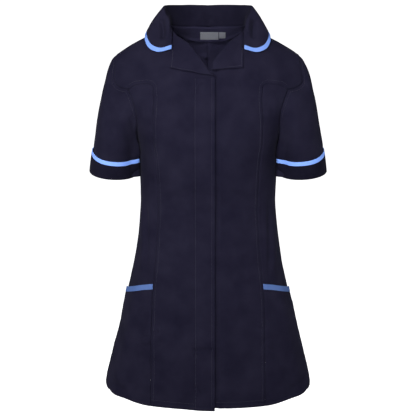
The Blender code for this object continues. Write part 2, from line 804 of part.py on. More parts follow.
def build_lapels():
    """The turned-back lapels."""
    right = lapel_points(ROLL_RIGHT, LAPEL_RIGHT_OUTER, LAPEL_RIGHT_LOWER, True)
    left = lapel_points(ROLL_LEFT, LAPEL_LEFT_OUTER, LAPEL_LEFT_LOWER, False)
    add_sheet("lapel_right", [right], WALL, NAVY, forwards)
    add_sheet("lapel_left", [left], WALL, NAVY, forwards)


def forwards(point):
    """The direction the front faces."""
    return np.array([0.0, -1.0, 0.3])


def collar_rows():
    """For each place round half the neck: the seam, the top of the roll and the outer edge."""
    back = line([place_above(*row, True) for row in NECK_BACK], NECK_BACK_STEPS)
    front = line([place_above(*row, False) for row in NECK_FRONT], NECK_FRONT_STEPS)
    seam = join(body_surface(back), body_surface(front))
    share = length_share(seam)
    steps = np.linspace(0.0, 1.0, len(ROLL_TOP))
    even = np.linspace(0.0, 1.0, COLLAR_STEPS + 1)
    mixed = np.interp(even, np.linspace(0.0, 1.0, len(share)), share)
    seam = np.stack([smooth_values(share, seam[:, axis], mixed) for axis in range(3)], axis=-1)
    roll = np.array(ROLL_TOP)
    roll = np.stack([smooth_values(steps, roll[:, axis], even) for axis in range(3)], axis=-1)
    edge_places = np.array([place_above(*row, row[1] > 0.0) for row in COLLAR_EDGE])
    edge_points = moved_out(edge_places, COLLAR_LIFT)
    edge = np.stack([smooth_values(steps, edge_points[:, axis], even) for axis in range(3)], axis=-1)
    return seam, roll, edge


def collar_section(seam, roll, edge):
    """Line across the collar: up the stand, over the roll and down the fall."""
    out = edge - seam
    out[2] = 0.0
    out = out / np.linalg.norm(out)
    up = np.array([0.0, 0.0, 1.0])
    height = roll[2] - seam[2]
    radius = min(COLLAR_ROLL, 0.45 * height)
    centre = roll - up * radius
    start = seam + up * SEAM
    inner = centre - out * radius
    stand = [start + (inner - start) * share for share in np.linspace(0.0, 1.0, STAND_STEPS + 1)]
    fall_way = edge - centre
    fall_way = fall_way / np.linalg.norm(fall_way)
    side = np.cross(np.cross(fall_way, up), fall_way)
    side = side / np.linalg.norm(side)
    if float(side @ out) < 0.0:
        side = -side
    angle_end = math.atan2(float(side @ up), float(side @ out))
    arc = []
    for share in np.linspace(0.0, 1.0, ARC_STEPS + 1)[1:]:
        angle = math.pi + (angle_end - math.pi) * share
        arc.append(centre + (out * math.cos(angle) + up * math.sin(angle)) * radius)
    first = arc[-1]
    span = edge - first
    fall = []
    length = float(np.linalg.norm(span))
    for share in np.linspace(0.0, 1.0, FALL_STEPS + 1)[1:]:
        swell = 4.0 * share * (1.0 - share) * 0.030 * length
        fall.append(first + span * share + side * swell)
    return np.array(stand + arc + fall)


def cut_section(points, width):
    """Split a line across the collar, so that its last stretch has the width of the trim."""
    lengths = np.concatenate([[0.0], np.cumsum(np.linalg.norm(np.diff(points, axis=0), axis=1))])
    cut = lengths[-1] - width
    count = STAND_STEPS + ARC_STEPS
    fall_start = lengths[count]
    body = list(points[: count + 1])
    for share in np.linspace(fall_start, cut - SEAM / 2.0, FALL_STEPS + 1)[1:]:
        body.append([np.interp(share, lengths, points[:, axis]) for axis in range(3)])
    trim = []
    for share in (cut + SEAM / 2.0, (cut + lengths[-1]) / 2.0, lengths[-1]):
        trim.append([np.interp(share, lengths, points[:, axis]) for axis in range(3)])
    return np.array(body), np.array(trim)


def build_collar():
    """The collar and the band on its outer edge, from one front end round the back to the other."""
    seam, roll, edge = collar_rows()
    body = []
    trim = []
    for index in range(len(seam)):
        section = collar_section(seam[index].copy(), roll[index].copy(), edge[index].copy())
        cloth, band = cut_section(section, TRIM_WIDTH)
        body.append(cloth)
        trim.append(band)
    body = np.array(body)
    trim = np.array(trim)
    whole = np.concatenate([mirror(body[::-1]), body[1:]])
    band = np.concatenate([mirror(trim[::-1]), trim[1:]])
    add_sheet("collar", [whole], WALL, NAVY, upwards)
    add_sheet("collar_trim", [band], WALL, SKY, outwards_back)


def upwards(point):
    """Up, for the roll of the collar."""
    return np.array([point[0], point[1], 0.02]) if point[2] < 0.02 else np.array([0.0, 0.0, 1.0])


def outwards_back(point):
    """Out and up, for the outer edge of the collar."""
    return np.array([point[0], point[1], 0.08])


def build_placket():
    """The strip that covers the fastening, on the right front from its edge inwards."""
    sides = np.linspace(-LAP, PLACKET_EDGE, 4)
    lows = [float(table_value(HEM_RIGHT, 1, side)) for side in sides]
    rows = []
    for share in np.linspace(0.0, 1.0, PLACKET_STEPS + 1):
        heights = [PLACKET_TOP + (low - PLACKET_TOP) * share for low in lows]
        rows.append([place_at(float(side), height) for side, height in zip(sides, heights)])
    points = moved_out(np.array(rows), LAYER + PLACKET_EASE)
    add_sheet("placket", [mirror(points)], WALL, NAVY, away_from_axis)


def build_pockets():
    """Hip pockets on the side fronts, and the bands at their mouths."""
    places = side_front_places()
    points = body_surface(places)
    normals = body_normals(places)
    pocket = []
    band = []
    columns = points.shape[1]
    for column in range(columns):
        across = column / (columns - 1.0)
        heights = points[:, column, 2]
        index = np.arange(len(heights), dtype=float)
        mouth = float(table_value(POCKET_MOUTH, 1, across))
        first = float(np.interp(-mouth, -heights, index))
        join_row = float(np.interp(-(mouth - POCKET_TRIM), -heights, index))
        proud = POCKET_STAND - LAYER
        lift = LAYER + proud * (0.35 + 0.65 * across)
        rows = []
        for row in (first, (first + join_row) / 2.0, join_row):
            rows.append(sampled(points, row, column) + sampled(normals, row, column) * lift)
        band.append(rows)
        rows = []
        for share in np.linspace(0.0, 1.0, POCKET_STEPS + 1):
            row = join_row + (len(heights) - 1 - join_row) * share
            out = LAYER + proud * (0.35 + 0.65 * across) * (1.0 - float(smooth_step(0.0, 0.6, share)))
            rows.append(sampled(points, row, column) + sampled(normals, row, column) * out)
        pocket.append(rows)
    band = np.swapaxes(np.array(band), 0, 1)
    pocket = np.swapaxes(np.array(pocket), 0, 1)
    pocket = inset(pocket, (SEAM / 2.0, 0.0, POCKET_EASE, POCKET_EASE))
    band = inset(band, (0.0, SEAM / 2.0, POCKET_EASE, POCKET_EASE))
    for side, turn in (("left", unchanged), ("right", mirror)):
        add_sheet("pocket_" + side, [turn(pocket)], WALL, NAVY, away_from_axis)
        add_sheet("pocket_trim_" + side, [turn(band)], WALL, SKY, away_from_axis)


def build_facing():
    """The shallow facing inside the back neck, with the neck label and the size tab on it."""
    places = back_places()
    points = body_surface(places)
    normals = body_normals(places)
    half = []
    for column in range(NECK_BACK_STEPS):
        low = float(table_value(FACING_LOW, 1, points[0, column, 0]))
        index = np.arange(points.shape[0], dtype=float)
        last = float(np.interp(-low, -points[:, column, 2], index))
        rows = []
        for row in np.linspace(0.012, last, 4):
            rows.append(sampled(points, row, column) - sampled(normals, row, column) * (LAYER + WALL))
        half.append(rows)
    half = np.swapaxes(np.array(half), 0, 1)
    whole = np.concatenate([mirror(half[:, :0:-1]), half], axis=1)
    add_sheet("neck_facing", [whole], WALL, NAVY, forwards)
    for name, box in (("neck_label", LABEL_BOX), ("size_tab", TAB_BOX)):
        rows = []
        for height in (box[2], (box[2] + box[3]) / 2.0, box[3]):
            ring = []
            for side in np.linspace(box[0], box[1], 4):
                place = np.array(place_at(abs(float(side)), height, True))
                point = body_surface(place) - body_normals(place) * (2.0 * LAYER + WALL + LABEL_EASE)
                ring.append(point * np.array([1.0 if side > 0.0 else -1.0, 1.0, 1.0]))
            rows.append(ring)
        add_sheet(name, [np.array(rows)], LABEL_WALL, GREY, forwards)


clear_scene()
GARMENT = make_collection("work_tunic")
NECK_END = place_above(*NECK_FRONT[-1], False)
build_fronts()
build_side_fronts()
build_back()
build_sleeves()
build_lapels()
build_collar()
build_placket()
build_pockets()
build_facing()
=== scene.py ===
"""Looks of the work tunic: fine sheets of cloth, seams, stitching, creases and finishes over its solids.

Metres, +Z up, the front faces -Y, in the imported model's own frame. Sides are the wearer's: right is -X.
"""
import logging
import math
from collections.abc import Sequence
from dataclasses import dataclass, field, replace
from enum import Enum

import bmesh
import bpy
import numpy as np
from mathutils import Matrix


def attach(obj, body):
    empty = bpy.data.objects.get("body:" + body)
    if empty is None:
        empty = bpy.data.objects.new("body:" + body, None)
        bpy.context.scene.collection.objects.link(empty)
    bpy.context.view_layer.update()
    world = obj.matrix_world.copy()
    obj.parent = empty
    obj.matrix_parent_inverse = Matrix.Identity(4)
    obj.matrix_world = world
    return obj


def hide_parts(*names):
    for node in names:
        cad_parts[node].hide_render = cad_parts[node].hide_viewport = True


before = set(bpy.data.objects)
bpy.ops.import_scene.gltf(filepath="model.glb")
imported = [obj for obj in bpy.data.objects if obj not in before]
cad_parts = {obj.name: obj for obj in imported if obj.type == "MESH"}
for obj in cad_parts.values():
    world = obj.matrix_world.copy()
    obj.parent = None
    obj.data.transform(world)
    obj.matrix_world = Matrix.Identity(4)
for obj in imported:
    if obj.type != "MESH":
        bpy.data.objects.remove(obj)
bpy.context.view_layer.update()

Array = np.ndarray
Row = tuple[float | None, ...]
Rows = tuple[Row, ...]
Triple = tuple[float, float, float]
Quad = tuple[float, float, float, float]
Socket = bpy.types.NodeSocket
LOG = logging.getLogger("work_tunic")

BODY = "root"
NAVY_SLOT = "navy_cloth"
BAND_SLOT = "blue_band"
LABEL_SLOT = "grey_label"

CLOTH = 0.0007
DOUBLE_CLOTH = 0.0012
LAYER = 0.0016
COARSE_STEP = 0.0042
SEAM_STEPS = (0.0, 0.0005, 0.0011, 0.0018, 0.0028, 0.0042, 0.0056, 0.0064, 0.0070, 0.0076, 0.0086, 0.0108, 0.0140)
EDGE_STEPS = (0.0, 0.0008, 0.0018, 0.0030, 0.0050, 0.0080)
HEM_STEPS = (0.0, 0.0010, 0.0030, 0.0060, 0.0090, 0.0110, 0.0118, 0.0126, 0.0136, 0.0160, 0.0200)
HEM_FOLD = 0.0009
HEM_DEPTH = 0.0120
LINE_PLACES = 14
STITCH_GROOVE = 0.0009
WELD_DISTANCE = 0.00002
TINY = 1e-12
TENTHS_PER_METRE = 10000.0


def smooth_values(known: Sequence[float], values: Sequence[float], wanted: Array | float) -> Array:
    """Read a smooth line through known values, without overshoot.

    Args:
        known: Rising places where the values are known.
        values: The value at each known place.
        wanted: Places to read.

    Returns:
        The value at each wanted place.
    """
    known, values, wanted = (np.asarray(item, dtype=float) for item in (known, values, wanted))
    wanted = np.clip(wanted, known[0], known[-1])
    step = np.diff(known)
    slope = np.diff(values) / step
    product = slope[:-1] * slope[1:]
    total = slope[:-1] + slope[1:]
    safe = np.where(np.abs(total) < TINY, 1.0, total)
    inner = np.where(product > 0.0, 2.0 * product / safe, 0.0)
    tangent = np.concatenate([slope[:1], inner, slope[-1:]])
    index = np.clip(np.searchsorted(known, wanted) - 1, 0, len(step) - 1)
    width = step[index]
    part = (wanted - known[index]) / width
    start = (1.0 + 2.0 * part) * (1.0 - part) ** 2 * values[index]
    lead = part * (1.0 - part) ** 2 * width * tangent[index]
    end = part * part * (3.0 - 2.0 * part) * values[index + 1]
    trail = part * part * (part - 1.0) * width * tangent[index + 1]
    return start + lead + end + trail


def smooth_points(known: Sequence[float], points: Array, wanted: Array | float) -> Array:
    """Read a smooth line of points at wanted places between known ones."""
    return np.stack([smooth_values(known, column, wanted) for column in points.T], axis=-1)


def straight_points(known: Array, points: Array, wanted: Array | float) -> Array:
    """Read a line of points at wanted places, straight from each known one to the next."""
    return np.stack([np.interp(wanted, known, column) for column in points.T], axis=-1)


def from_rows(rows: Sequence[Row], wanted: Array | float, column: int = 1) -> Array:
    """Read a column of a table smoothly at values of its first column."""
    return smooth_values([row[0] for row in rows], [row[column] for row in rows], wanted)


def evenly(count: int) -> Array:
    """Even shares from 0 to 1."""
    return np.linspace(0.0, 1.0, count)


def smooth_step(low: float, high: float, value: Array | float) -> Array:
    """Rise softly from 0 at low to 1 at high.

    Args:
        low: Where the rise starts. It may be above high.
        high: Where the rise ends.
        value: Places to read.

    Returns:
        The share of the rise at each place.
    """
    part = np.clip((np.asarray(value, dtype=float) - low) / (high - low), 0.0, 1.0)
    return part * part * (3.0 - 2.0 * part)


def bell(distance: Array, reach: float) -> Array:
    """A soft hump: 1 at no distance, falling away over a reach."""
    return np.exp(-((distance / reach) ** 2))


def unit(vectors: Array) -> Array:
    """Vectors of length one along the given ones."""
    return vectors / np.maximum(np.linalg.norm(vectors, axis=-1, keepdims=True), TINY)


def run_of(points: Array) -> Array:
    """Distance along a line of points, or down each column of a grid, from its start."""
    steps = np.linalg.norm(np.diff(points, axis=0), axis=-1)
    return np.concatenate([np.zeros((1, *steps.shape[1:])), np.cumsum(steps, axis=0)])


def spread(length: float, coarse: float, start: Sequence[float] = (0.0,), end: Sequence[float] = (0.0,)) -> Array:
    """Share a length out into steps, fine near its ends.

    Args:
        length: The whole length.
        coarse: The usual step between the fine stretches.
        start: Distances from the start that get a place.
        end: Distances from the end that get a place.

    Returns:
        Shares of the length from 0 to 1.
    """
    limit = 0.45 * length
    head = [value for value in start if value < limit]
    tail = [length - value for value in end if value < limit][::-1]
    count = max(int(math.ceil((tail[0] - head[-1]) / coarse)), 1)
    middle = np.linspace(head[-1], tail[0], count + 1)[1:-1]
    return np.concatenate([head, middle, tail]) / length


class Hand(Enum):
    """The wearer's side that a piece is on."""

    LEFT = 1.0
    RIGHT = -1.0

    @property
    def word(self) -> str:
        """The side as it stands in names."""
        return self.name.lower()

    def turn(self, values: Array) -> Array:
        """Places or points drawn for the left side, on this side."""
        return values * np.where(np.arange(values.shape[-1]) == 0, self.value, 1.0)


class Face(Enum):
    """The face of the garment that a crease runs on."""

    FRONT = "front"
    BACK = "back"
    BOTH = "both"

    def share(self, depth: Array) -> Array:
        """How much of a crease shows at each distance behind the shoulders.

        Args:
            depth: The distances.

        Returns:
            Shares from 0 to 1.
        """
        if self is Face.BOTH:
            return np.ones_like(depth)
        return smooth_step(-0.010, 0.020, depth if self is Face.BACK else -depth)


class Edge(Enum):
    """An edge of a grid of cloth."""

    TOP = "top"
    BOTTOM = "bottom"
    LEFT = "left"
    RIGHT = "right"

    def facing(self, values: Array) -> Array:
        """The grid turned so that this edge is its first row. At the top or bottom, twice gives the grid back."""
        turned = np.swapaxes(values, 0, 1) if self in (Edge.LEFT, Edge.RIGHT) else values
        return turned[::-1] if self in (Edge.BOTTOM, Edge.RIGHT) else turned


@dataclass(frozen=True)
class Crumple:
    """Smooth uneven values through space, the same in every run."""

    pitch: float
    rise: float
    seed: int
    cells: int = 40

    def height(self, points: Array) -> Array:
        """Rise of the cloth at each point.

        Args:
            points: Points in space.

        Returns:
            One height for each point.
        """
        table = np.random.default_rng(self.seed).uniform(-1.0, 1.0, (self.cells,) * 3)
        cell = points / self.pitch
        low = np.floor(cell).astype(int)
        part = cell - low
        part = part * part * (3.0 - 2.0 * part)
        total = np.zeros(points.shape[:-1])
        for corner in range(8):
            step = np.array([corner & 1, (corner >> 1) & 1, (corner >> 2) & 1])
            spot = (low + step) % self.cells
            weight = np.prod(np.where(step == 1, part, 1.0 - part), axis=-1)
            total = total + table[spot[..., 0], spot[..., 1], spot[..., 2]] * weight
        return total * self.rise


@dataclass(frozen=True)
class Crease:
    """A soft ridge, or a trough where its rise is negative, along a path of sides and heights."""

    path: Rows
    rise: float
    reach: float
    face: Face = Face.FRONT
    fade: float = 0.3

    def height(self, points: Array) -> Array:
        """Rise of the cloth at each point.

        Args:
            points: Points in space.

        Returns:
            One height for each point.
        """
        flat = points[..., [0, 2]]
        path = np.asarray(self.path, dtype=float)
        done = run_of(path)
        nearest = np.full(flat.shape[:-1], np.inf)
        along = np.zeros(flat.shape[:-1])
        for start, end, before in zip(path[:-1], path[1:], done[:-1]):
            way = end - start
            length = float(np.linalg.norm(way))
            share = np.clip(((flat - start) @ way) / length ** 2, 0.0, 1.0)
            gap = np.linalg.norm(flat - start - share[..., None] * way, axis=-1)
            closer = gap < nearest
            nearest = np.where(closer, gap, nearest)
            along = np.where(closer, (before + share * length) / done[-1], along)
        ends = smooth_step(0.0, self.fade, along) * smooth_step(1.0, 1.0 - self.fade, along)
        return self.rise * bell(nearest, self.reach) * ends * self.face.share(points[..., 1])


@dataclass(frozen=True)
class Relief:
    """Everything that makes the cloth uneven: listed creases, and slight crumples all over."""

    creases: tuple[Crease, ...]
    crumples: tuple[Crumple, ...]

    def height(self, points: Array) -> Array:
        """Rise of the cloth at each point."""
        return sum(item.height(points) for item in self.creases + self.crumples)


@dataclass(frozen=True)
class SoftFold:
    """One of the largest folds, which hangs down from a height and stays to the hem."""

    turn: float
    start: float
    full: float
    reach: float
    rise: float

    def height(self, turn: Array, height: Array) -> Array:
        """How far the fold stands out at an angle and a height."""
        return self.rise * bell(turn - self.turn, self.reach) * smooth_step(self.start, self.full, height)


@dataclass(frozen=True)
class BodyForm:
    """The hollow shape that the tunic keeps when it is worn.

    A place on it is an angle from the middle front and a travel down from the top of the shoulder.
    Sections give height, half width, depth in front and depth behind. Shoulders give side and height.
    """

    sections: Rows = (
        (-0.745, 0.2104, 0.1472, 0.1412), (-0.714, 0.2049, 0.1440, 0.1380), (-0.670, 0.1942, 0.1390, 0.1330),
        (-0.627, 0.1832, 0.1340, 0.1270), (-0.584, 0.1728, 0.1280, 0.1210), (-0.540, 0.1628, 0.1220, 0.1150),
        (-0.498, 0.1534, 0.1160, 0.1080), (-0.456, 0.1452, 0.1100, 0.1010), (-0.414, 0.1390, 0.1060, 0.0940),
        (-0.372, 0.1354, 0.1040, 0.0890), (-0.345, 0.1343, 0.1040, 0.0880), (-0.320, 0.1345, 0.1060, 0.0880),
        (-0.280, 0.1350, 0.1110, 0.0910), (-0.245, 0.1365, 0.1135, 0.0940), (-0.215, 0.1440, 0.1120, 0.0960),
        (-0.185, 0.1600, 0.1080, 0.0980), (-0.150, 0.1810, 0.1020, 0.0980), (-0.110, 0.1970, 0.0930, 0.0950),
        (-0.076, 0.2000, 0.0830, 0.0910), (-0.030, 0.2000, 0.0680, 0.0840), (0.020, 0.2000, 0.0520, 0.0740),
    )
    shoulders: Rows = (
        (0.000, 0.0200), (0.030, 0.0170), (0.050, 0.0100), (0.070, 0.0010), (0.119, -0.0234), (0.148, -0.0393),
        (0.161, -0.0469), (0.178, -0.0585), (0.200, -0.0750),
    )
    shoulder_round: float = 0.130
    squareness: float = 2.3
    folds: tuple[SoftFold, ...] = (
        SoftFold(1.04, -0.350, -0.430, 0.12, 0.0022),
        SoftFold(0.66, -0.480, -0.700, 0.20, 0.0018),
        SoftFold(2.05, -0.330, -0.520, 0.16, 0.0026),
        SoftFold(2.62, -0.400, -0.720, 0.20, 0.0050),
    )
    bust: Quad = (0.080, -0.205, 0.007, 0.055)
    usual_radius: float = 0.12
    probe: float = 0.0004

    def section(self, column: int, height: Array | float) -> Array:
        """One column of the sections at a height."""
        return from_rows(self.sections, height, column)

    def ridge(self, side: Array | float) -> Array:
        """Height of the top of the shoulder at a distance from the middle."""
        return from_rows(self.shoulders, side)

    def points(self, places: Array) -> Array:
        """Points of the form.

        Args:
            places: Angle and travel of each place.

        Returns:
            The point in space for each place.
        """
        places = np.asarray(places, dtype=float)
        turn = np.clip(np.abs(places[..., 0]), 0.0, math.pi)
        travel = np.maximum(places[..., 1], 0.0)
        rounding = np.minimum(travel / self.shoulder_round, math.pi / 2.0)
        past = np.maximum(travel - self.shoulder_round * math.pi / 2.0, 0.0)
        drop = self.shoulder_round * (1.0 - np.cos(rounding)) + past
        across = np.abs(np.sin(turn)) ** (2.0 / self.squareness)
        along = np.abs(np.cos(turn)) ** (2.0 / self.squareness)
        height = -drop
        for _ in range(26):
            side = self.section(1, height) * across
            height = 0.5 * height + 0.5 * (self.ridge(side) - drop)
        side = self.section(1, height) * across
        middle, level, rise, reach = self.bust
        bust = rise * np.exp(-((side - middle) ** 2 + (height - level) ** 2) / reach ** 2)
        front = -(self.section(2, height) + bust)
        depth = np.where(turn <= math.pi / 2.0, front, self.section(3, height)) * along * np.sin(rounding)
        swell = np.ones_like(turn)
        for fold in self.folds:
            swell = swell + fold.height(turn, height) / self.usual_radius
        return np.stack([np.sign(places[..., 0]) * side * swell, depth * swell, height], axis=-1)

    def slopes(self, places: Array) -> tuple[Array, Array]:
        """Change of the point with the angle and with the travel.

        Args:
            places: Angle and travel of each place.

        Returns:
            The two rates of change at each place.
        """
        turn = np.zeros_like(places)
        turn[..., 0] = self.probe / self.usual_radius
        fall = np.zeros_like(places)
        fall[..., 1] = self.probe
        raised = places.copy()
        raised[..., 1] = np.maximum(places[..., 1] - self.probe, 0.0)
        span = places[..., 1] + self.probe - raised[..., 1]
        across = (self.points(places + turn) - self.points(places - turn)) / (2.0 * self.probe / self.usual_radius)
        down = (self.points(places + fall) - self.points(raised)) / span[..., None]
        return across, down

    def normals(self, places: Array) -> Array:
        """Outward direction at each place."""
        across, down = self.slopes(np.asarray(places, dtype=float))
        return unit(np.cross(down, across))

    def place_at(self, side: float | None, height: float | None, back: bool = False) -> tuple[float, float]:
        """Find a place from its distance from the middle and its height.

        Args:
            side: Distance from the middle, or None for the side seam.
            height: Height, or None for the top of the shoulder.
            back: Whether the place is behind.

        Returns:
            Angle and travel of the place.
        """
        if side is None:
            side = float(self.section(1, height))
            drop = float(self.ridge(side)) - height
            return (math.pi / 2.0, self.travel_for(drop))
        top = float(self.ridge(abs(side)))
        if height is None:
            height = top
        share = min(abs(side) / float(self.section(1, height)), 1.0)
        angle = math.asin(share ** (self.squareness / 2.0))
        if back:
            angle = math.pi - angle
        return (math.copysign(angle, side), self.travel_for(top - height))

    def travel_for(self, drop: float) -> float:
        """Travel over the shoulder that loses a height.

        Args:
            drop: The height.

        Returns:
            The travel.
        """
        drop = max(drop, 0.0)
        if drop < self.shoulder_round:
            return self.shoulder_round * math.acos(1.0 - drop / self.shoulder_round)
        return self.shoulder_round * (math.pi / 2.0 - 1.0) + drop

    def place_above(self, side: float, behind: float, back: bool) -> tuple[float, float]:
        """Find a place near the neck from above.

        Args:
            side: Distance from the middle.
            behind: Distance behind the shoulder line.
            back: Whether the place is behind it.

        Returns:
            Angle and travel of the place.
        """
        column = 3 if back else 2
        top = float(self.ridge(abs(side)))
        height = top
        for _ in range(40):
            width = float(self.section(1, height))
            angle = math.asin(min(abs(side) / width, 1.0) ** (self.squareness / 2.0))
            along = math.cos(angle) ** (2.0 / self.squareness)
            share = min(abs(behind) / (float(self.section(column, height)) * along), 1.0)
            height = 0.5 * height + 0.5 * (top - self.shoulder_round * (1.0 - math.sqrt(1.0 - share * share)))
        if back:
            angle = math.pi - angle
        return (math.copysign(angle, side), self.shoulder_round * math.asin(share))

    def shifted(self, places: Array, move: Array) -> Array:
        """Move places along the surface.

        Args:
            places: Angle and travel of each place.
            move: The wished move of each point in space.

        Returns:
            The moved places.
        """
        goal = self.points(places) + move
        for _ in range(3):
            across, down = self.slopes(places)
            error = goal - self.points(places)
            a = np.sum(across * across, axis=-1)
            b = np.sum(across * down, axis=-1)
            c = np.sum(down * down, axis=-1)
            e = np.sum(across * error, axis=-1)
            f = np.sum(down * error, axis=-1)
            rest = np.maximum(a * c - b * b, TINY)
            places = places + np.stack([(c * e - b * f) / rest, (a * f - b * e) / rest], axis=-1)
        return places


FORM = BodyForm()


@dataclass(frozen=True)
class Line:
    """A smooth line through places on the form."""

    places: Array
    turn_length: float = 0.13

    @staticmethod
    def through(places: Sequence[Row]) -> "Line":
        """A line through a list of places."""
        return Line(np.array(places))

    def runs(self) -> Array:
        """Distance reached at each place, from the start."""
        return run_of(self.places * np.array([self.turn_length, 1.0]))

    @property
    def length(self) -> float:
        """The whole length."""
        return float(self.runs()[-1])

    def at(self, shares: Array) -> Array:
        """Read the line.

        Args:
            shares: Shares of its length from 0 to 1.

        Returns:
            The place at each share.
        """
        known = self.runs()
        return smooth_points(known, self.places, np.asarray(shares) * known[-1])

    def steps(self, start: Sequence[float] = (0.0,), end: Sequence[float] = (0.0,)) -> Array:
        """Shares of the line for the rows or columns of a grid, fine near its ends."""
        return spread(self.length, COARSE_STEP, start, end)

    def dense(self, count: int) -> Array:
        """Evenly spaced places along the line."""
        return self.at(evenly(count + 1))

    def reversed(self) -> "Line":
        """The line from its end to its start."""
        return Line(self.places[::-1])


def dense_along(*parts: tuple[Line, int]) -> Array:
    """Evenly spaced places along lines that meet end to end. Each line comes with its number of steps."""
    return np.concatenate([line.dense(count)[min(index, 1):] for index, (line, count) in enumerate(parts)])


def end_to_end(
    *lines: Line, start: Sequence[float] = (0.0,), joint: Sequence[float] = (0.0,), end: Sequence[float] = (0.0,),
) -> tuple[Array, Array]:
    """Read lines that meet end to end, fine where it is wished.

    Args:
        *lines: The lines in order.
        start: Distances from the start that get a place.
        joint: Distances from each meeting point, both ways, that get a place.
        end: Distances from the end that get a place.

    Returns:
        All places in order, each meeting point once, and the share of the whole length at each.
    """
    total = sum(item.length for item in lines)
    done = 0.0
    places, reached = [], []
    for index, item in enumerate(lines):
        first = min(index, 1)
        shares = item.steps(joint if first else start, end if item is lines[-1] else joint)
        places.append(item.at(shares)[first:])
        reached.append(((done + shares * item.length) / total)[first:])
        done += item.length
    return np.concatenate(places), np.concatenate(reached)


def filled(top: Array, bottom: Array, left: Array, right: Array, across: Array, down: Array) -> Array:
    """Fill a grid between four edges.

    Args:
        top: Values along the first row.
        bottom: Values along the last row.
        left: Values along the first column.
        right: Values along the last column.
        across: Share reached at each column.
        down: Share reached at each row.

    Returns:
        The grid of values.
    """
    u = across[None, :, None]
    v = down[:, None, None]
    edges = (1.0 - v) * top[None] + v * bottom[None] + (1.0 - u) * left[:, None] + u * right[:, None]
    corners = (1.0 - v) * ((1.0 - u) * top[0] + u * top[-1]) + v * ((1.0 - u) * bottom[0] + u * bottom[-1])
    return edges - corners


class SeamStyle(Enum):
    """How a seam is pressed and sewn."""

    PLAIN = "plain"
    TOPSTITCHED = "topstitched"


@dataclass
class Seam:
    """A sewn seam: a narrow groove, with a raised, topstitched allowance on one side where it has one."""

    name: str
    places: Array
    form: BodyForm
    style: SeamStyle = SeamStyle.PLAIN
    raised: float = 1.0
    groove: float = 0.0012
    groove_reach: float = 0.0014
    ridge: float = 0.00012
    stitch_at: float = 0.0068
    pucker: float = 0.00030
    pucker_reach: float = 0.011
    pucker_pitch: float = 0.0075
    pucker_stretch: float = 0.35
    stitch_sink: float = 0.00016
    margin: float = 0.025
    past_end: float = 0.004
    block: int = 4000
    seed: int = 3

    def __post_init__(self) -> None:
        """Work out the line's points and directions once."""
        self.points = self.form.points(self.places)
        self.normals = self.form.normals(self.places)
        self.ways = unit(np.gradient(self.points, axis=0))
        self.sides = unit(np.cross(self.normals, self.ways))
        self.runs = run_of(self.points)
        self.low = self.points.min(axis=0) - self.margin
        self.high = self.points.max(axis=0) + self.margin

    def measure(self, points: Array) -> tuple[Array, Array, Array]:
        """Find the nearest place of the seam.

        Args:
            points: Points in space.

        Returns:
            Distance from the seam, distance along it and the side of it, for each point.
        """
        flat = points.reshape(-1, 3)
        gap, run, side = np.empty((3, len(flat)))
        square = np.sum(self.points ** 2, axis=1)
        for first in range(0, len(flat), self.block):
            part = slice(first, first + self.block)
            block = flat[part]
            nearest = np.argmin(square[None] - 2.0 * block @ self.points.T, axis=1)
            delta = block - self.points[nearest]
            ahead = np.clip(np.sum(delta * self.ways[nearest], axis=1), -self.past_end, self.past_end)
            inner = (nearest > 0) & (nearest < len(self.points) - 1)
            delta = np.where(inner[:, None], delta - ahead[:, None] * self.ways[nearest], delta)
            gap[part] = np.linalg.norm(delta, axis=1)
            run[part] = self.runs[nearest] + ahead
            side[part] = np.sum(delta * self.sides[nearest], axis=1)
        shape = points.shape[:-1]
        return gap.reshape(shape), run.reshape(shape), side.reshape(shape)

    def height(self, points: Array) -> Array:
        """Rise of the cloth at each point.

        Args:
            points: Points in space.

        Returns:
            One height for each point.
        """
        total = np.zeros(points.shape[:-1])
        near = np.all((points > self.low) & (points < self.high), axis=-1)
        if np.any(near):
            total[near] = self.height_near(points[near])
        return total

    def height_near(self, points: Array) -> Array:
        """Rise of the cloth at points that are near the seam.

        Args:
            points: Points in space.

        Returns:
            One height for each point.
        """
        gap, run, side = self.measure(points)
        waves = np.stack([run, side * self.pucker_stretch, np.zeros_like(run)], axis=-1)
        ripple = Crumple(self.pucker_pitch, self.pucker, self.seed).height(waves)
        total = -self.groove * bell(gap, self.groove_reach) + ripple * bell(gap, self.pucker_reach)
        if self.style is SeamStyle.TOPSTITCHED:
            away = side * self.raised
            bank = smooth_step(0.0010, 0.0030, away)
            bank = bank * smooth_step(self.stitch_at + 0.0010, self.stitch_at - 0.0008, away)
            total = total + self.ridge * bank
            total = total - self.stitch_sink * bell(away - self.stitch_at, STITCH_GROOVE)
        return total

    def stitch_places(self, distance: float, hand: float) -> Array:
        """Places of a row of stitches beside the seam.

        Args:
            distance: Distance from the seam.
            hand: 1 or -1, the side of the seam.

        Returns:
            The places of the row.
        """
        return self.form.shifted(self.places, self.sides * distance * hand)


@dataclass
class ClothSurface:
    """The form with its creases and seams, on which every piece of the body is laid."""

    form: BodyForm
    relief: Relief
    seams: list[Seam] = field(default_factory=list)

    def points(self, places: Array, lift: Array | float = 0.0, sewn: bool = True) -> Array:
        """Points of the cloth.

        Args:
            places: Angle and travel of each place.
            lift: Distance out from the form's own cloth.
            sewn: Whether the seams show, as they do on the lowest layer.

        Returns:
            The point in space for each place.
        """
        base = self.form.points(places)
        rise = self.relief.height(base) + lift
        if sewn:
            for seam in self.seams:
                rise = rise + seam.height(base)
        return base + self.form.normals(places) * rise[..., None]


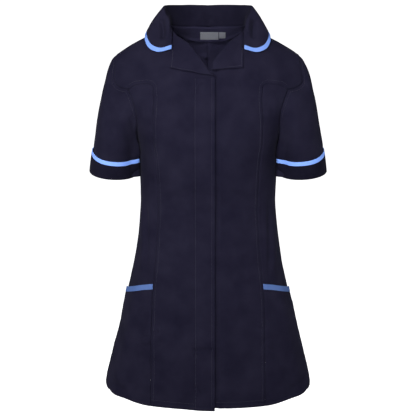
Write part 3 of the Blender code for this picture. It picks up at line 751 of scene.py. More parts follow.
@dataclass
class ClothGrid:
    """A grid of points of the outer face of a piece of cloth."""

    points: Array
    outward: Array
    flip: bool | None = None
    tone: int = 0

    def __post_init__(self) -> None:
        """Find out in its middle whether the faces have to be wound the other way."""
        if self.flip is None:
            row, column = (count // 2 for count in self.points.shape[:2])
            down = self.points[row + 1, column] - self.points[row - 1, column]
            across = self.points[row, column + 1] - self.points[row, column - 1]
            self.flip = float(np.cross(down, across) @ self.outward[row, column]) < 0.0

    def inside(self, edge: Edge, distance: float) -> tuple[Array, Array]:
        """A line at a distance inside an edge.

        Args:
            edge: The edge to measure from.
            distance: Distance along the cloth.

        Returns:
            Points of the line, and the outward direction at each.
        """
        runs = run_of(edge.facing(self.points)).T
        found, ways = (
            np.array([straight_points(run, values[:, column], distance) for column, run in enumerate(runs)])
            for values in (edge.facing(self.points), edge.facing(self.outward))
        )
        return found, unit(ways)

    def turned_under(self, edge: Edge, radius: float, depth: float) -> "ClothGrid":
        """Fold the upper or lower edge in and under.

        Args:
            edge: The edge to fold.
            radius: Radius of the fold.
            depth: How far the cloth goes back inside.

        Returns:
            The grid with the folded stretch added.
        """
        points = edge.facing(self.points)
        outward = edge.facing(self.outward)
        leaving = points[0] - points[1]
        leaving = unit(leaving - outward[0] * np.sum(leaving * outward[0], axis=-1, keepdims=True))
        centre = points[0] - outward[0] * radius
        rows = []
        for distance in (depth, depth * 0.66, depth * 0.33, 0.0012):
            line, ways = self.inside(edge, distance)
            rows.append(line - ways * radius * 2.0)
        for angle in np.radians([180.0, 144.0, 108.0, 72.0, 36.0]):
            rows.append(centre + leaving * radius * math.sin(angle) + outward[0] * radius * math.cos(angle))
        folded = np.concatenate([np.array(rows), points])
        padded = np.concatenate([np.repeat(outward[:1], len(rows), axis=0), outward])
        return ClothGrid(edge.facing(folded), edge.facing(padded), self.flip, self.tone)

    def hemmed(self) -> "ClothGrid":
        """The grid with the tunic's hem turned up inside."""
        return self.turned_under(Edge.BOTTOM, HEM_FOLD, HEM_DEPTH)

    def lengths(self) -> tuple[Array, Array]:
        """Distance along the cloth across each row and down each column."""
        return run_of(np.swapaxes(self.points, 0, 1)).T, run_of(self.points)

    def area(self) -> float:
        """Area of the cloth."""
        first, second = np.diff(self.points, axis=0)[:, :-1], np.diff(self.points, axis=1)[:-1]
        return float(np.linalg.norm(np.cross(first, second), axis=-1).sum())


def outward_of(points: Array, hint: Array, closed: bool = False) -> Array:
    """Outward direction at each point of a grid.

    Args:
        points: The grid.
        hint: Directions that are outward over most of the grid.
        closed: Whether the last column repeats the first.

    Returns:
        Directions of length one.
    """
    down = np.gradient(points, axis=0)
    if closed:
        ring = points[:, :-1]
        across = np.roll(ring, -1, axis=1) - np.roll(ring, 1, axis=1)
        across = np.concatenate([across, across[:, :1]], axis=1)
    else:
        across = np.gradient(points, axis=1)
    normal = unit(np.cross(down, across))
    return normal * (1.0 if float(np.mean(np.sum(normal * hint, axis=-1))) >= 0.0 else -1.0)


class Recipe:
    """Short calls for building a finish out of nodes."""

    def __init__(self, name: str, **values: object) -> None:
        """Start a material and its shader, whose sockets take the values.

        Args:
            name: The material's name.
            **values: As for add.
        """
        self.material = bpy.data.materials.new(name)
        self.material.use_nodes = True
        self.tree = self.material.node_tree
        self.tree.nodes.clear()
        self.shader = self.add("BsdfPrincipled", **values)
        self.link(self.shader.outputs["BSDF"], self.add("OutputMaterial").inputs["Surface"])

    def add(self, kind: str, **values: object) -> bpy.types.Node:
        """Add a node and set its sockets or properties.

        Args:
            kind: The node's type, without the word ShaderNode.
            **values: Sockets by name with _ for a space, or properties of the node.

        Returns:
            The new node.
        """
        node = self.tree.nodes.new(f"ShaderNode{kind}")
        for name, value in values.items():
            if hasattr(node, name):
                setattr(node, name, value)
            else:
                node.inputs[name.replace("_", " ")].default_value = value
        return node

    def link(self, source: Socket, target: Socket) -> None:
        """Join two sockets."""
        self.tree.links.new(source, target)

    def after(self, source: Socket, kind: str, into: str | int = 0, **values: object) -> bpy.types.Node:
        """Add a node and lead a socket into it.

        Args:
            source: The socket to lead on.
            kind: The node's type, without the word ShaderNode.
            into: The new node's socket that takes it.
            **values: As for add.

        Returns:
            The new node.
        """
        node = self.add(kind, **values)
        self.link(source, node.inputs[into])
        return node

    def noise(self, source: Socket, **values: float) -> Socket:
        """Smooth uneven values over the places of a socket."""
        return self.after(source, "TexNoise", **values).outputs["Fac"]

    def mixed(self, first: Socket, share: float, second: Socket) -> Socket:
        """A share of the first value, added to the second.

        Args:
            first: The socket with the first value.
            share: The share.
            second: The socket with the second value.

        Returns:
            The socket with the sum.
        """
        node = self.after(first, "Math", operation="MULTIPLY_ADD")
        node.inputs[1].default_value = share
        self.link(second, node.inputs[2])
        return node.outputs["Value"]

    def ranged(self, source: Socket, *ends: float) -> Socket:
        """A value led softly from one range to another, given by the four ends.

        Args:
            source: The socket with the value.
            *ends: Ends of the first range, then of the second.

        Returns:
            The socket with the new value.
        """
        node = self.after(source, "MapRange", interpolation_type="SMOOTHSTEP")
        for index, value in enumerate(ends):
            node.inputs[index + 1].default_value = value
        return node.outputs["Result"]

    def paint(self, source: Socket, *stops: tuple[float, Sequence[float]]) -> None:
        """Colour the shader by a value, with a colour at each stop.

        Args:
            source: The socket with the value.
            *stops: Value and colour of each stop.
        """
        ramp = self.after(source, "ValToRGB")
        for element, (place, colour) in zip(ramp.color_ramp.elements, stops):
            element.position = place
            element.color = (*colour, 1.0)
        self.link(ramp.outputs["Color"], self.shader.inputs["Base Color"])


@dataclass(frozen=True)
class Finish:
    """A finish that is made once and handed out again later."""

    name: str
    colour: Triple

    def material(self) -> bpy.types.Material:
        """The material, mixed at its first use."""
        found = bpy.data.materials.get(self.name)
        return self.mix() if found is None else found

    def mix(self) -> bpy.types.Material:
        """Make the material. Each kind of finish does it in its own way."""
        raise NotImplementedError


@dataclass(frozen=True)
class ClothFinish(Finish):
    """A woven cloth: its colour, how uneven it is, its twill and its sheen."""

    faded: Triple
    slot: str = NAVY_SLOT
    roughness: float = 0.80
    sheen: float = 0.02
    sheen_tint: Triple = (0.62, 0.62, 0.80)
    specular: float = 0.0
    twill_pitch: float = 0.00085
    twill_depth: float = 0.00006
    twill_turns: float = 0.31
    yarns: tuple[float, float] = (2600.0, 700.0)
    patch_scale: float = 26.0
    fleck_scale: float = 900.0

    def toned(self, name: str, share: float) -> "ClothFinish":
        """The same cloth, darker or lighter by a share."""
        return replace(self, name=name, colour=tuple(value * share for value in self.colour),
                       faded=tuple(value * share for value in self.faded))

    def mix(self) -> bpy.types.Material:
        """Make the cloth.

        Returns:
            The material.
        """
        recipe = Recipe(self.name, Roughness=self.roughness, Sheen_Weight=self.sheen, Sheen_Roughness=0.45,
                        Sheen_Tint=(*self.sheen_tint, 1.0), Specular_IOR_Level=self.specular)
        self.dye(recipe)
        self.weave(recipe)
        return recipe.material

    def dye(self, recipe: Recipe) -> None:
        """Vary the colour in soft patches and fine flecks.

        Args:
            recipe: The cloth's recipe.
        """
        where = recipe.add("TexCoord").outputs["Object"]
        patches = recipe.noise(where, Scale=self.patch_scale, Detail=3.0, Roughness=0.55)
        flecks = recipe.noise(where, Scale=self.fleck_scale, Detail=2.0, Roughness=0.6)
        recipe.paint(recipe.mixed(flecks, 0.35, patches), (0.42, self.colour), (0.95, self.faded))

    def weave(self, recipe: Recipe) -> None:
        """Raise the twill's diagonal ribs and cross them with the yarns.

        Args:
            recipe: The cloth's recipe.
        """
        grain = recipe.add("UVMap", uv_map="grain").outputs["UV"]
        turns = self.twill_turns / self.twill_pitch
        size = recipe.after(grain, "Mapping", Scale=(turns, turns * 0.62, turns))
        ribs = recipe.after(size.outputs["Vector"], "TexWave", wave_type="BANDS", bands_direction="DIAGONAL",
                            Scale=1.0, Distortion=0.4, Detail=1.0)
        thin = recipe.after(grain, "Mapping", Scale=(*self.yarns, 1.0))
        yarns = recipe.noise(thin.outputs["Vector"], Scale=1.0, Detail=1.0)
        height = recipe.mixed(yarns, 0.5, ribs.outputs["Fac"])
        bump = recipe.after(height, "Bump", "Height", Strength=0.5, Distance=self.twill_depth)
        recipe.link(bump.outputs["Normal"], recipe.shader.inputs["Normal"])


@dataclass(frozen=True)
class ThreadFinish(Finish):
    """Sewing thread with a slight gloss."""

    roughness: float = 0.5
    shades: tuple[float, float] = (0.75, 1.25)

    def mix(self) -> bpy.types.Material:
        """Make the thread, uneven along its twist.

        Returns:
            The material.
        """
        recipe = Recipe(self.name, Roughness=self.roughness)
        twist = recipe.noise(recipe.add("TexCoord").outputs["Object"], Scale=2400.0, Detail=1.0)
        recipe.paint(twist, *((place, [value * self.shades[place] for value in self.colour]) for place in (0, 1)))
        return recipe.material


@dataclass(frozen=True)
class StudioFinish(Finish):
    """The plain pale floor, whose glow behind the garment is painted light that also falls on the garment."""

    name: str = "studio_floor"
    colour: Triple = (0.90, 0.90, 0.90)
    glow: Quad = (0.90, 1.45, 0.02, 1.0)
    width: Quad = (3.2, 2.2, 0.0, 1.0)

    def mix(self) -> bpy.types.Material:
        """Make the floor, with a glow from its near to its far end that fades to the sides.

        Returns:
            The material.
        """
        recipe = Recipe(self.name, Roughness=0.95, Base_Color=(*self.colour, 1.0), Specular_IOR_Level=0.1,
                        Emission_Color=(1.0, 1.0, 1.0, 1.0))
        parts = recipe.after(recipe.add("TexCoord").outputs["Object"], "SeparateXYZ").outputs
        side = recipe.after(parts["X"], "Math", operation="ABSOLUTE").outputs["Value"]
        both = recipe.after(recipe.ranged(parts["Y"], *self.glow), "Math", operation="MULTIPLY")
        recipe.link(recipe.ranged(side, *self.width), both.inputs[1])
        recipe.link(both.outputs["Value"], recipe.shader.inputs["Emission Strength"])
        return recipe.material


NAVY = ClothFinish("navy_twill", (0.0072, 0.0067, 0.0150), (0.0126, 0.0117, 0.0232))
# The cuff's navy, darkened to 0.66 as painted shade; it is the same cloth as the sleeve.
NAVY_PAINTED_SHADE_CUFF = NAVY.toned("navy_twill_painted_shade_cuff", 0.66)
# The collar stand's navy, darkened to 0.76 as painted shade inside the neck.
NAVY_PAINTED_SHADE_STAND = NAVY.toned("navy_twill_painted_shade_stand", 0.76)
# The navy lightened 2.1 times as painted light, for the back's inner face and the neck facing, which lie in shade.
NAVY_PAINTED_LIGHT_INSIDE = NAVY.toned("navy_twill_painted_light_inside", 2.1)
SKY = ClothFinish("sky_twill", (0.168, 0.298, 0.735), (0.198, 0.330, 0.785), BAND_SLOT, sheen=0.0)
# The pocket band is the same sky twill, darkened to 0.37 as painted shade.
SKY_POCKET_PAINTED_SHADE = SKY.toned("sky_twill_pocket_painted_shade", 0.37)
# The collar band is the same sky twill, darkened to 0.74 as painted shade.
SKY_COLLAR_PAINTED_SHADE = SKY.toned("sky_twill_collar_painted_shade", 0.74)
GREY = ClothFinish(
    "label_weave", (0.146, 0.151, 0.178), (0.178, 0.184, 0.205), LABEL_SLOT, twill_pitch=0.0005, sheen=0.0)
NAVY_THREAD = ThreadFinish("navy_thread", (0.026, 0.025, 0.043))
SEAM_THREAD = ThreadFinish("navy_seam_thread", (0.0125, 0.0118, 0.0225))


def put_in_scene(name: str, data: bpy.types.ID) -> bpy.types.Object:
    """Make an object of some data and put it in the scene.

    Args:
        name: The object's name.
        data: Its mesh, light or camera.

    Returns:
        The object.
    """
    item = bpy.data.objects.new(name, data)
    bpy.context.scene.collection.objects.link(item)
    return item


class Hold(Enum):
    """How a sheet of cloth is held."""

    DRAPED = "draped"
    FOLDED = "folded"


@dataclass
class ClothPiece:
    """One cut and sewn piece of cloth, made of grids that join where they touch."""

    name: str
    node: str
    grids: list[ClothGrid]
    finish: ClothFinish
    rests_on: tuple[str, ...]
    wall: float = CLOTH
    hold: Hold = Hold.DRAPED
    round_edge: float = 0.0
    inner: ClothFinish | None = None
    inner_side: bool = False
    stacked: bool = False
    shortest: float = 0.0102
    emptiest: float = 0.31
    fullest: float = 0.999

    @property
    def slot(self) -> str:
        """The material slot of the solid that the piece replaces."""
        return self.finish.slot

    def mesh(self) -> bpy.types.Mesh:
        """Make the outer face of the cloth from the grids, welded and softly shaded.

        Returns:
            The mesh, with the cloth's grain as its map.
        """
        points, faces, grain, tones = [], [], [], []
        start = 0
        for grid in self.grids:
            rows, columns = grid.points.shape[:2]
            index = np.arange(rows * columns).reshape(rows, columns)
            corners = [index[:-1, :-1], index[1:, :-1], index[1:, 1:], index[:-1, 1:]]
            face = np.stack(corners[::-1] if grid.flip else corners, axis=-1).reshape(-1, 4)
            faces.append(face + start)
            tones.append(np.full(len(face), grid.tone, dtype=np.int32))
            points.append(grid.points.reshape(-1, 3))
            grain.append(np.stack(grid.lengths(), axis=-1).reshape(-1, 2)[face.reshape(-1)])
            start += rows * columns
        mesh = bpy.data.meshes.new(self.name)
        mesh.from_pydata(np.concatenate(points).tolist(), [], np.concatenate(faces).tolist())
        layer = mesh.uv_layers.new(name="grain")
        layer.data.foreach_set("uv", np.concatenate(grain).astype(np.float32).ravel())
        mesh.polygons.foreach_set("material_index", np.concatenate(tones))
        builder = bmesh.new()
        builder.from_mesh(mesh)
        bmesh.ops.remove_doubles(builder, verts=builder.verts, dist=WELD_DISTANCE)
        builder.to_mesh(mesh)
        builder.free()
        mesh.shade_smooth()
        return mesh

    def sew(self) -> None:
        mesh = self.mesh()
        item = put_in_scene(self.name, mesh)
        # The second finish is a toned copy of the cloth: painted light on the back's inner face, painted shade on the
        # collar stand.
        for finish in (self.finish, self.inner):
            if finish is not None:
                mesh.materials.append(finish.material())
        solid = item.modifiers.new("wall", "SOLIDIFY")
        solid.thickness = self.wall
        solid.offset = -1.0
        solid.use_even_offset = False
        solid.material_offset = 1 if self.inner_side else 0
        if self.round_edge > 0.0:
            bevel = item.modifiers.new("rounded_edge", "BEVEL")
            bevel.width = self.round_edge
            bevel.segments = 2
            bevel.limit_method = "ANGLE"
            bevel.angle_limit = math.radians(75.0)
        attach(item, BODY)
        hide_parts(self.node)
        self.slot
        width, length, area = self.cut()
        LOG.info("%s: cut %.0f x %.0f mm, %.4f square metres, %d faces", self.name, width * 1000.0,
                 length * 1000.0, area, len(mesh.polygons))

    def cut(self) -> Triple:
        """Width, length and area of the flat cut, worked out from the sewn shape.

        Returns:
            The three sizes in metres and square metres.
        """
        sizes = np.array([[values.max() for values in grid.lengths()] for grid in self.grids])
        width, length = sizes.sum(axis=0)
        if self.stacked:
            width = sizes[:, 0].max()
        else:
            length = sizes[:, 1].max()
        length = max(float(length), self.shortest)
        area = min(sum(grid.area() for grid in self.grids), self.fullest * float(width) * length)
        return round(float(width), 4), round(length, 4), round(max(area, self.emptiest * float(width) * length), 5)


@dataclass
class Stitching:
    """Rows of single stitches, joined into one object."""

    name: str
    finish: ThreadFinish = NAVY_THREAD
    pitch: float = 0.0027
    length: float = 0.0020
    radius: float = 0.00021
    proud: float = 0.25
    probe: float = 0.0006
    rows: list[tuple[Array, Array]] = field(default_factory=list)

    def add(self, points: Array, outward: Array) -> None:
        """Add a row along a line of points with the outward direction at each."""
        self.rows.append((points, outward))

    def sew(self) -> None:
        """Make all rows."""
        shape = np.array([
            (along, math.cos(turn) * wide, math.sin(turn) * wide + sink)
            for along, wide, sink in ((-0.5, 0.45, -1.1), (-0.3, 1.0, 0.0), (0.3, 1.0, 0.0), (0.5, 0.45, -1.1))
            for turn in np.radians([45.0, 135.0, 225.0, 315.0])
        ])
        ring = np.arange(4)
        ahead = (ring + 1) % 4
        faces = [np.stack([ring, ahead, ahead + 4, ring + 4], axis=-1) + 4 * level for level in range(3)]
        template = np.concatenate([*faces, [[3, 2, 1, 0], [12, 13, 14, 15]]])
        points = []
        for line, outward in self.rows:
            runs = run_of(line)
            count = int(runs[-1] / self.pitch)
            if count < 1:
                continue
            middles = (np.arange(count) + 0.5) * runs[-1] / count
            centre, after, before = (
                straight_points(runs, line, middles + shift) for shift in (0.0, self.probe, -self.probe))
            way = unit(after - before)
            up = unit(straight_points(runs, outward, middles))
            side = unit(np.cross(up, way))
            placed = (
                centre[:, None]
                + way[:, None] * shape[None, :, :1] * self.length
                + side[:, None] * shape[None, :, 1:2] * self.radius
                + up[:, None] * (shape[None, :, 2:] + self.proud) * self.radius
            )
            points.append(placed.reshape(-1, 3))
        joined = np.concatenate(points)
        count = len(joined) // len(shape)
        all_faces = (template[None] + (np.arange(count) * len(shape))[:, None, None]).reshape(-1, 4)
        mesh = bpy.data.meshes.new(self.name)
        mesh.from_pydata(joined.tolist(), [], all_faces.tolist())
        mesh.shade_smooth()
        item = put_in_scene(self.name, mesh)
        mesh.materials.append(self.finish.material())
        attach(item, BODY)
        LOG.info("%s: %d stitches", self.name, count)


@dataclass(frozen=True)
class TunicCut:
    """The seam lines of the tunic, drawn for the wearer's left side.

    Rows give side and height, or at the neck side and distance behind. None stands for the shoulder or side seam.
    """

    form: BodyForm = FORM
    princess_top: Rows = (
        (0.1050, -0.1068), (0.1086, -0.1028), (0.1144, -0.1010), (0.1261, -0.1028), (0.1417, -0.1065),
        (0.1545, -0.1158),
    )
    princess_down: Rows = (
        (0.1050, -0.1068), (0.1039, -0.1211), (0.1044, -0.1417), (0.1058, -0.1888), (0.1038, -0.2291),
        (0.0988, -0.2838), (0.0974, -0.3524), (0.0994, -0.3850), (0.1032, -0.4508), (0.1082, -0.5005),
        (0.1112, -0.5886), (0.1125, -0.6875), (0.1127, -0.7388),
    )
    armhole_upper: Rows = ((0.1784, None), (0.1801, -0.0714), (0.1836, -0.0930), (0.1832, -0.1070))
    armhole_fold: Rows = ((0.1832, -0.1070), (0.1748, -0.1135), (0.1647, -0.1157), (0.1545, -0.1158))
    armhole_lower: Rows = (
        (0.1545, -0.1158), (0.1476, -0.1345), (0.1415, -0.1518), (0.1390, -0.1778), (0.1392, -0.2034),
        (0.1390, -0.2240), (None, -0.2380),
    )
    armhole_back: Rows = (
        (0.1784, None), (0.1775, -0.0750), (0.1735, -0.0950), (0.1650, -0.1250), (0.1560, -0.1550),
        (0.1480, -0.1850), (0.1425, -0.2100), (None, -0.2380),
    )
    neck_back: Rows = (
        (0.0000, 0.0520), (0.0253, 0.0490), (0.0449, 0.0425), (0.0610, 0.0310), (0.0705, 0.0150), (0.0735, 0.0000),
    )
    neck_front: Rows = ((0.0735, 0.0000), (0.0720, -0.0120), (0.0680, -0.0238))
    hem_left: Rows = (
        (-0.0400, -0.7378), (0.0000, -0.7378), (0.1127, -0.7382), (0.1680, -0.7345), (0.2100, -0.7340),
    )
    hem_right: Rows = (
        (-0.0200, -0.7436), (0.0100, -0.7430), (0.0550, -0.7395), (0.1127, -0.7382), (0.1680, -0.7345),
        (0.2100, -0.7340),
    )
    hem_back: Rows = ((0.0000, -0.7385), (0.1200, -0.7375), (0.2100, -0.7340))
    hem_side: float = -0.7340
    hem_end: float = 0.2060
    underarm: float = -0.2380
    shoulder_inner: tuple[float, ...] = (0.0735, 0.0860, 0.1000)
    shoulder_outer: tuple[float, ...] = (0.1000, 0.1400, 0.1784)

    def line(self, rows: Sequence[Row], back: bool = False) -> Line:
        """A line on the form through rows of side and height."""
        return Line.through([self.form.place_at(side, height, back and side is not None) for side, height in rows])

    def neck(self, back: bool) -> Line:
        """The neck seam, from the middle back to the shoulder or from the shoulder to the front end."""
        rows = self.neck_back if back else self.neck_front
        return Line.through([self.form.place_above(side, behind, back) for side, behind in rows])

    def shoulder(self, *sides: float, back: bool = False) -> Line:
        """The shoulder seam between distances from the middle."""
        return self.line([(side, None) for side in sides], back)

    def hem(self, rows: Sequence[Row], start: float, end: float | None, back: bool = False,
            rise: float = 0.0) -> Line:
        """The hem between two distances from the middle.

        Args:
            rows: Side and height of the hem.
            start: Where it starts.
            end: Where it ends, or None for the side seam.
            back: Whether it is behind.
            rise: Height above the hem.

        Returns:
            The line.
        """
        sides = np.linspace(start, self.hem_end if end is None else end, LINE_PLACES)
        places = [self.form.place_at(float(side), rise + float(from_rows(rows, side)), back) for side in sides]
        if end is None:
            places[-1] = self.form.place_at(None, self.hem_side + rise)
        return Line.through(places)

    def side_seam(self) -> Line:
        """The side seam from the underarm down."""
        return self.line([(None, float(z)) for z in np.linspace(self.underarm, self.hem_side, LINE_PLACES)])


CUT = TunicCut()


@dataclass
class CentreFront:
    """A centre front: the main panel, and its yoke out to the armhole."""

    hand: Hand
    surface: ClothSurface
    roll: Rows
    tuck: Rows
    centre: float
    hem_rows: Rows
    tuck_depth: float = 0.0

    def grids(self) -> list[ClothGrid]:
        """Lay out the two grids.

        Returns:
            The main grid and the yoke's, which share a column.
        """
        upper = [turn_line(self.roll).reversed(), CUT.neck(False).reversed(), CUT.shoulder(*CUT.shoulder_inner)]
        if self.tuck:
            upper.insert(0, CUT.line(self.tuck).reversed())
        top, across = end_to_end(*upper, start=EDGE_STEPS, end=SEAM_STEPS)
        hem = CUT.hem(self.hem_rows, self.centre, CUT.princess_down[-1][0]).at(across)
        yoke = CUT.line(((CUT.shoulder_outer[0], None), (0.1020, -0.0450), CUT.princess_down[0]))
        princess = CUT.line(CUT.princess_down)
        outer, down = end_to_end(yoke, princess, start=EDGE_STEPS, joint=SEAM_STEPS, end=HEM_STEPS)
        start = self.tuck[-1] if self.tuck else self.roll[-1]
        heights = np.linspace(start[1], float(from_rows(self.hem_rows, self.centre)), LINE_PLACES)
        edge = CUT.line([(self.centre, float(height)) for height in heights])
        main = filled(top, hem, edge.at(down), outer, across, down)
        lower, across = end_to_end(
            CUT.line(CUT.princess_top), CUT.line(CUT.armhole_fold).reversed(), start=SEAM_STEPS, end=EDGE_STEPS)
        down = yoke.steps(start=EDGE_STEPS, end=SEAM_STEPS)
        yoke_grid = filled(CUT.shoulder(*CUT.shoulder_outer).at(across), lower, yoke.at(down),
                           CUT.line(CUT.armhole_upper).at(down), across, down)
        return [self.laid(main).hemmed(), self.laid(yoke_grid)]

    def laid(self, places: Array) -> ClothGrid:
        """Lay a grid of places on the cloth surface, stepped in where the other front laps over it.

        Args:
            places: The grid, drawn for the left side.

        Returns:
            The cloth on this side.
        """
        places = self.hand.turn(places)
        lift: Array | float = 0.0
        if self.tuck_depth > 0.0:
            base = FORM.points(places)
            step = smooth_step(0.0240, 0.0150, base[..., 0] * self.hand.value)
            lift = -self.tuck_depth * step * smooth_step(-0.0560, -0.0700, base[..., 2])
        return ClothGrid(self.surface.points(places, lift), FORM.normals(places))

    def build(self) -> None:
        """Sew the centre front."""
        ClothPiece(
            name=f"front_panel_{self.hand.word}", node=f"centre_front_{self.hand.word}", grids=self.grids(),
            finish=NAVY, rests_on=(f"back_{self.hand.word}", f"side_front_{self.hand.word}"),
        ).sew()


@dataclass
class SideFront:
    """A side front, from the princess seam round to the side seam."""

    hand: Hand
    surface: ClothSurface

    @staticmethod
    def across() -> Array:
        """Share of the width at each column."""
        return spread(CUT.line(CUT.princess_top).length, 0.0030, start=SEAM_STEPS, end=EDGE_STEPS)

    def places(self) -> Array:
        """The grid of places, drawn for the left side.

        Returns:
            The place of each row and column.
        """
        top = CUT.line(CUT.princess_top)
        across = self.across()
        right, down = end_to_end(CUT.line(CUT.armhole_lower), CUT.side_seam(), start=SEAM_STEPS, end=HEM_STEPS)
        hem = CUT.hem(CUT.hem_left, CUT.princess_down[-1][0], None)
        princess = CUT.line(CUT.princess_down)
        return filled(top.at(across), hem.at(across), princess.at(down), right, across, down)

    def build(self) -> None:
        """Sew the side front."""
        places = self.hand.turn(self.places())
        grid = ClothGrid(self.surface.points(places), FORM.normals(places))
        ClothPiece(
            name=f"side_panel_{self.hand.word}", node=f"side_front_{self.hand.word}",
            grids=[grid.hemmed()], finish=NAVY,
            rests_on=(f"back_{self.hand.word}", f"centre_front_{self.hand.word}"),
        ).sew()


@dataclass
class BackPanel:
    """One half of the back, which meets the other at the middle seam."""

    hand: Hand
    surface: ClothSurface

    @staticmethod
    def upper() -> list[Line]:
        """The lines of the upper edge, from the middle of the neck outwards."""
        sides = (CUT.shoulder_inner, CUT.shoulder_outer)
        return [CUT.neck(True), *(CUT.shoulder(*row, back=True) for row in sides)]

    def upper_edge(self) -> tuple[Array, Array]:
        """Places of the upper edge, and the share of the width at each."""
        return end_to_end(*self.upper(), end=EDGE_STEPS)

    def neck_share(self) -> float:
        """Share of the upper edge that is the neck seam."""
        lines = self.upper()
        return lines[0].length / sum(item.length for item in lines)

    def places(self) -> Array:
        """The grid of places of the left half, from the middle of the back outwards.

        Returns:
            The place of each row and column.
        """
        top, across = self.upper_edge()
        right, down = end_to_end(
            CUT.line(CUT.armhole_back, back=True), CUT.side_seam(), start=EDGE_STEPS, end=HEM_STEPS)
        hem = CUT.hem(CUT.hem_back, 0.0, None, True)
        middle = Line.through([top[0], hem.places[0]])
        return filled(top, hem.at(across), middle.at(down), right, across, down)

    def build(self) -> None:
        """Sew this half of the back."""
        turned = self.hand.turn(self.places())
        grid = ClothGrid(self.surface.points(turned), FORM.normals(turned))
        word = self.hand.word
        # Its inner face takes the navy lightened as painted light.
        ClothPiece(
            name=f"back_panel_{word}", node=f"back_{word}", grids=[grid.hemmed()],
            finish=NAVY, rests_on=(f"side_front_{word}", f"centre_front_{word}"),
            inner=NAVY_PAINTED_LIGHT_INSIDE, inner_side=True,
        ).sew()


@dataclass
class Sleeve:
    """A short set-in sleeve, its turned-up cuff and the band on the cuff's upper edge.

    Rows give the outer point, the inner point, the depth in front and the depth behind of a ring.
    """

    hand: Hand
    surface: ClothSurface
    rings: Rows = (
        (0.1784, -0.0588, 0.1378, -0.2380, 0.0680, 0.0600),
        (0.1880, -0.0705, 0.1390, -0.2400, 0.0700, 0.0640),
        (0.1965, -0.0884, 0.1396, -0.2430, 0.0720, 0.0680),
        (0.2068, -0.1281, 0.1400, -0.2480, 0.0730, 0.0700),
        (0.2143, -0.1681, 0.1402, -0.2530, 0.0715, 0.0700),
        (0.2215, -0.2084, 0.1403, -0.2580, 0.0685, 0.0680),
        (0.2270, -0.2400, 0.1406, -0.2600, 0.0650, 0.0650),
        (0.2279, -0.2540, 0.1409, -0.2660, 0.0636, 0.0636),
        (0.2340, -0.2888, 0.1418, -0.2950, 0.0620, 0.0620),
    )
    blend: float = 0.62
    inner_blend: float = 0.40
    arch: float = 0.0070
    band_top: tuple[float, ...] = (0.2300, -0.2535, 0.1386, -0.2625, 0.0658, 0.0658)
    cuff_top: tuple[float, ...] = (0.2314, -0.2610, 0.1388, -0.2700, 0.0656, 0.0656)
    cuff_hem: tuple[float, ...] = (0.2360, -0.2897, 0.1400, -0.2960, 0.0642, 0.0642)
    columns: int = 104
    head_rise: float = 0.0004
    clearance: float = 0.0012
    close_step: float = 0.0015
    middle: float = 0.187
    length: float = 0.215
    cuff_relief: float = 0.6
    press: float = 0.9
    stitch_inside: float = 0.0060

    @staticmethod
    def ring(row: Sequence[float], shares: Array) -> Array:
        """A ring of the sleeve.

        Args:
            row: Outer point, inner point, depth in front and depth behind.
            shares: 0 at the outer point, 0.5 at the inner one and 1 at the outer one again.

        Returns:
            The points of the ring.
        """
        outer = np.array([row[0], 0.0, row[1]])
        inner = np.array([row[2], 0.0, row[3]])
        turn = shares * 2.0 * math.pi
        depth = np.where(shares <= 0.5, -row[4], row[5])
        ahead = np.abs(np.sin(turn)) ** 0.92 * depth
        shape = np.stack([np.zeros_like(turn), ahead, np.zeros_like(turn)], axis=-1)
        return (outer + inner) / 2.0 + np.cos(turn)[:, None] * (outer - inner) / 2.0 + shape

    def armhole(self, shares: Array) -> Array:
        """The armhole seam, from the shoulder tip down the front and up the back.

        Args:
            shares: Shares of the way round, from 0 to 1.

        Returns:
            The point at each share.
        """
        lines = [CUT.line(rows) for rows in (CUT.armhole_upper, CUT.armhole_fold, CUT.armhole_lower)]
        front = self.sewn(dense_along(*((item, max(int(item.length / self.close_step), 8)) for item in lines)))
        back = self.sewn(CUT.line(CUT.armhole_back, back=True).reversed().dense(160))
        known = np.concatenate([
            run_of(front) / run_of(front)[-1] * 0.5, 0.5 + run_of(back)[1:] / run_of(back)[-1] * 0.5,
        ])
        return straight_points(known, np.concatenate([front, back[1:]]), shares)

    def sewn(self, places: Array) -> Array:
        """Points of the body's own cloth at places of the left side, turned back to the left side."""
        return self.hand.turn(self.surface.points(self.hand.turn(places)))

    def cloth(self) -> Array:
        """Rings of the sleeve from the armhole to its lower edge, for the left side.

        Returns:
            The points of each ring.
        """
        shares = evenly(self.columns + 1)
        table = np.array(self.rings)
        known = evenly(len(table))
        move = self.armhole(shares) - self.ring(self.rings[0], shares)
        inner = smooth_step(0.20, 0.32, shares) * smooth_step(0.80, 0.68, shares)
        rows = []
        for level in spread(self.length, COARSE_STEP, start=SEAM_STEPS, end=EDGE_STEPS):
            row = smooth_points(known, table, level)
            reach = self.blend + (self.inner_blend - self.blend) * inner
            keep = 1.0 - smooth_step(0.0, 1.0, level / reach)
            rows.append(self.ring(row, shares) + keep[:, None] * move)
        points = np.array(rows)
        return self.pressed(points, smooth_step(0.04, 0.16, evenly(len(points))))

    def pressed(self, points: Array, strength: Array) -> Array:
        """Lay the inner side of the rings against the body's side, without touching it.

        Args:
            points: Rings for the left side.
            strength: Share of the move for each ring, from 0 to 1.

        Returns:
            The moved rings.
        """
        height = points[..., 2]
        depth = np.where(points[..., 1] <= 0.0, FORM.section(2, height), FORM.section(3, height))
        share = np.clip(np.abs(points[..., 1]) / depth, 0.0, 1.0)
        body = FORM.section(1, height) * (1.0 - share ** FORM.squareness) ** (1.0 / FORM.squareness)
        gap = points[..., 0] - body - self.clearance
        shares = evenly(points.shape[1])
        inner = smooth_step(0.30, 0.42, shares) * smooth_step(0.72, 0.60, shares)
        move = np.maximum(gap, 0.0) * inner[None] * strength[:, None] * smooth_step(0.024, 0.012, gap)
        return points - np.stack([move, np.zeros_like(move), np.zeros_like(move)], axis=-1)

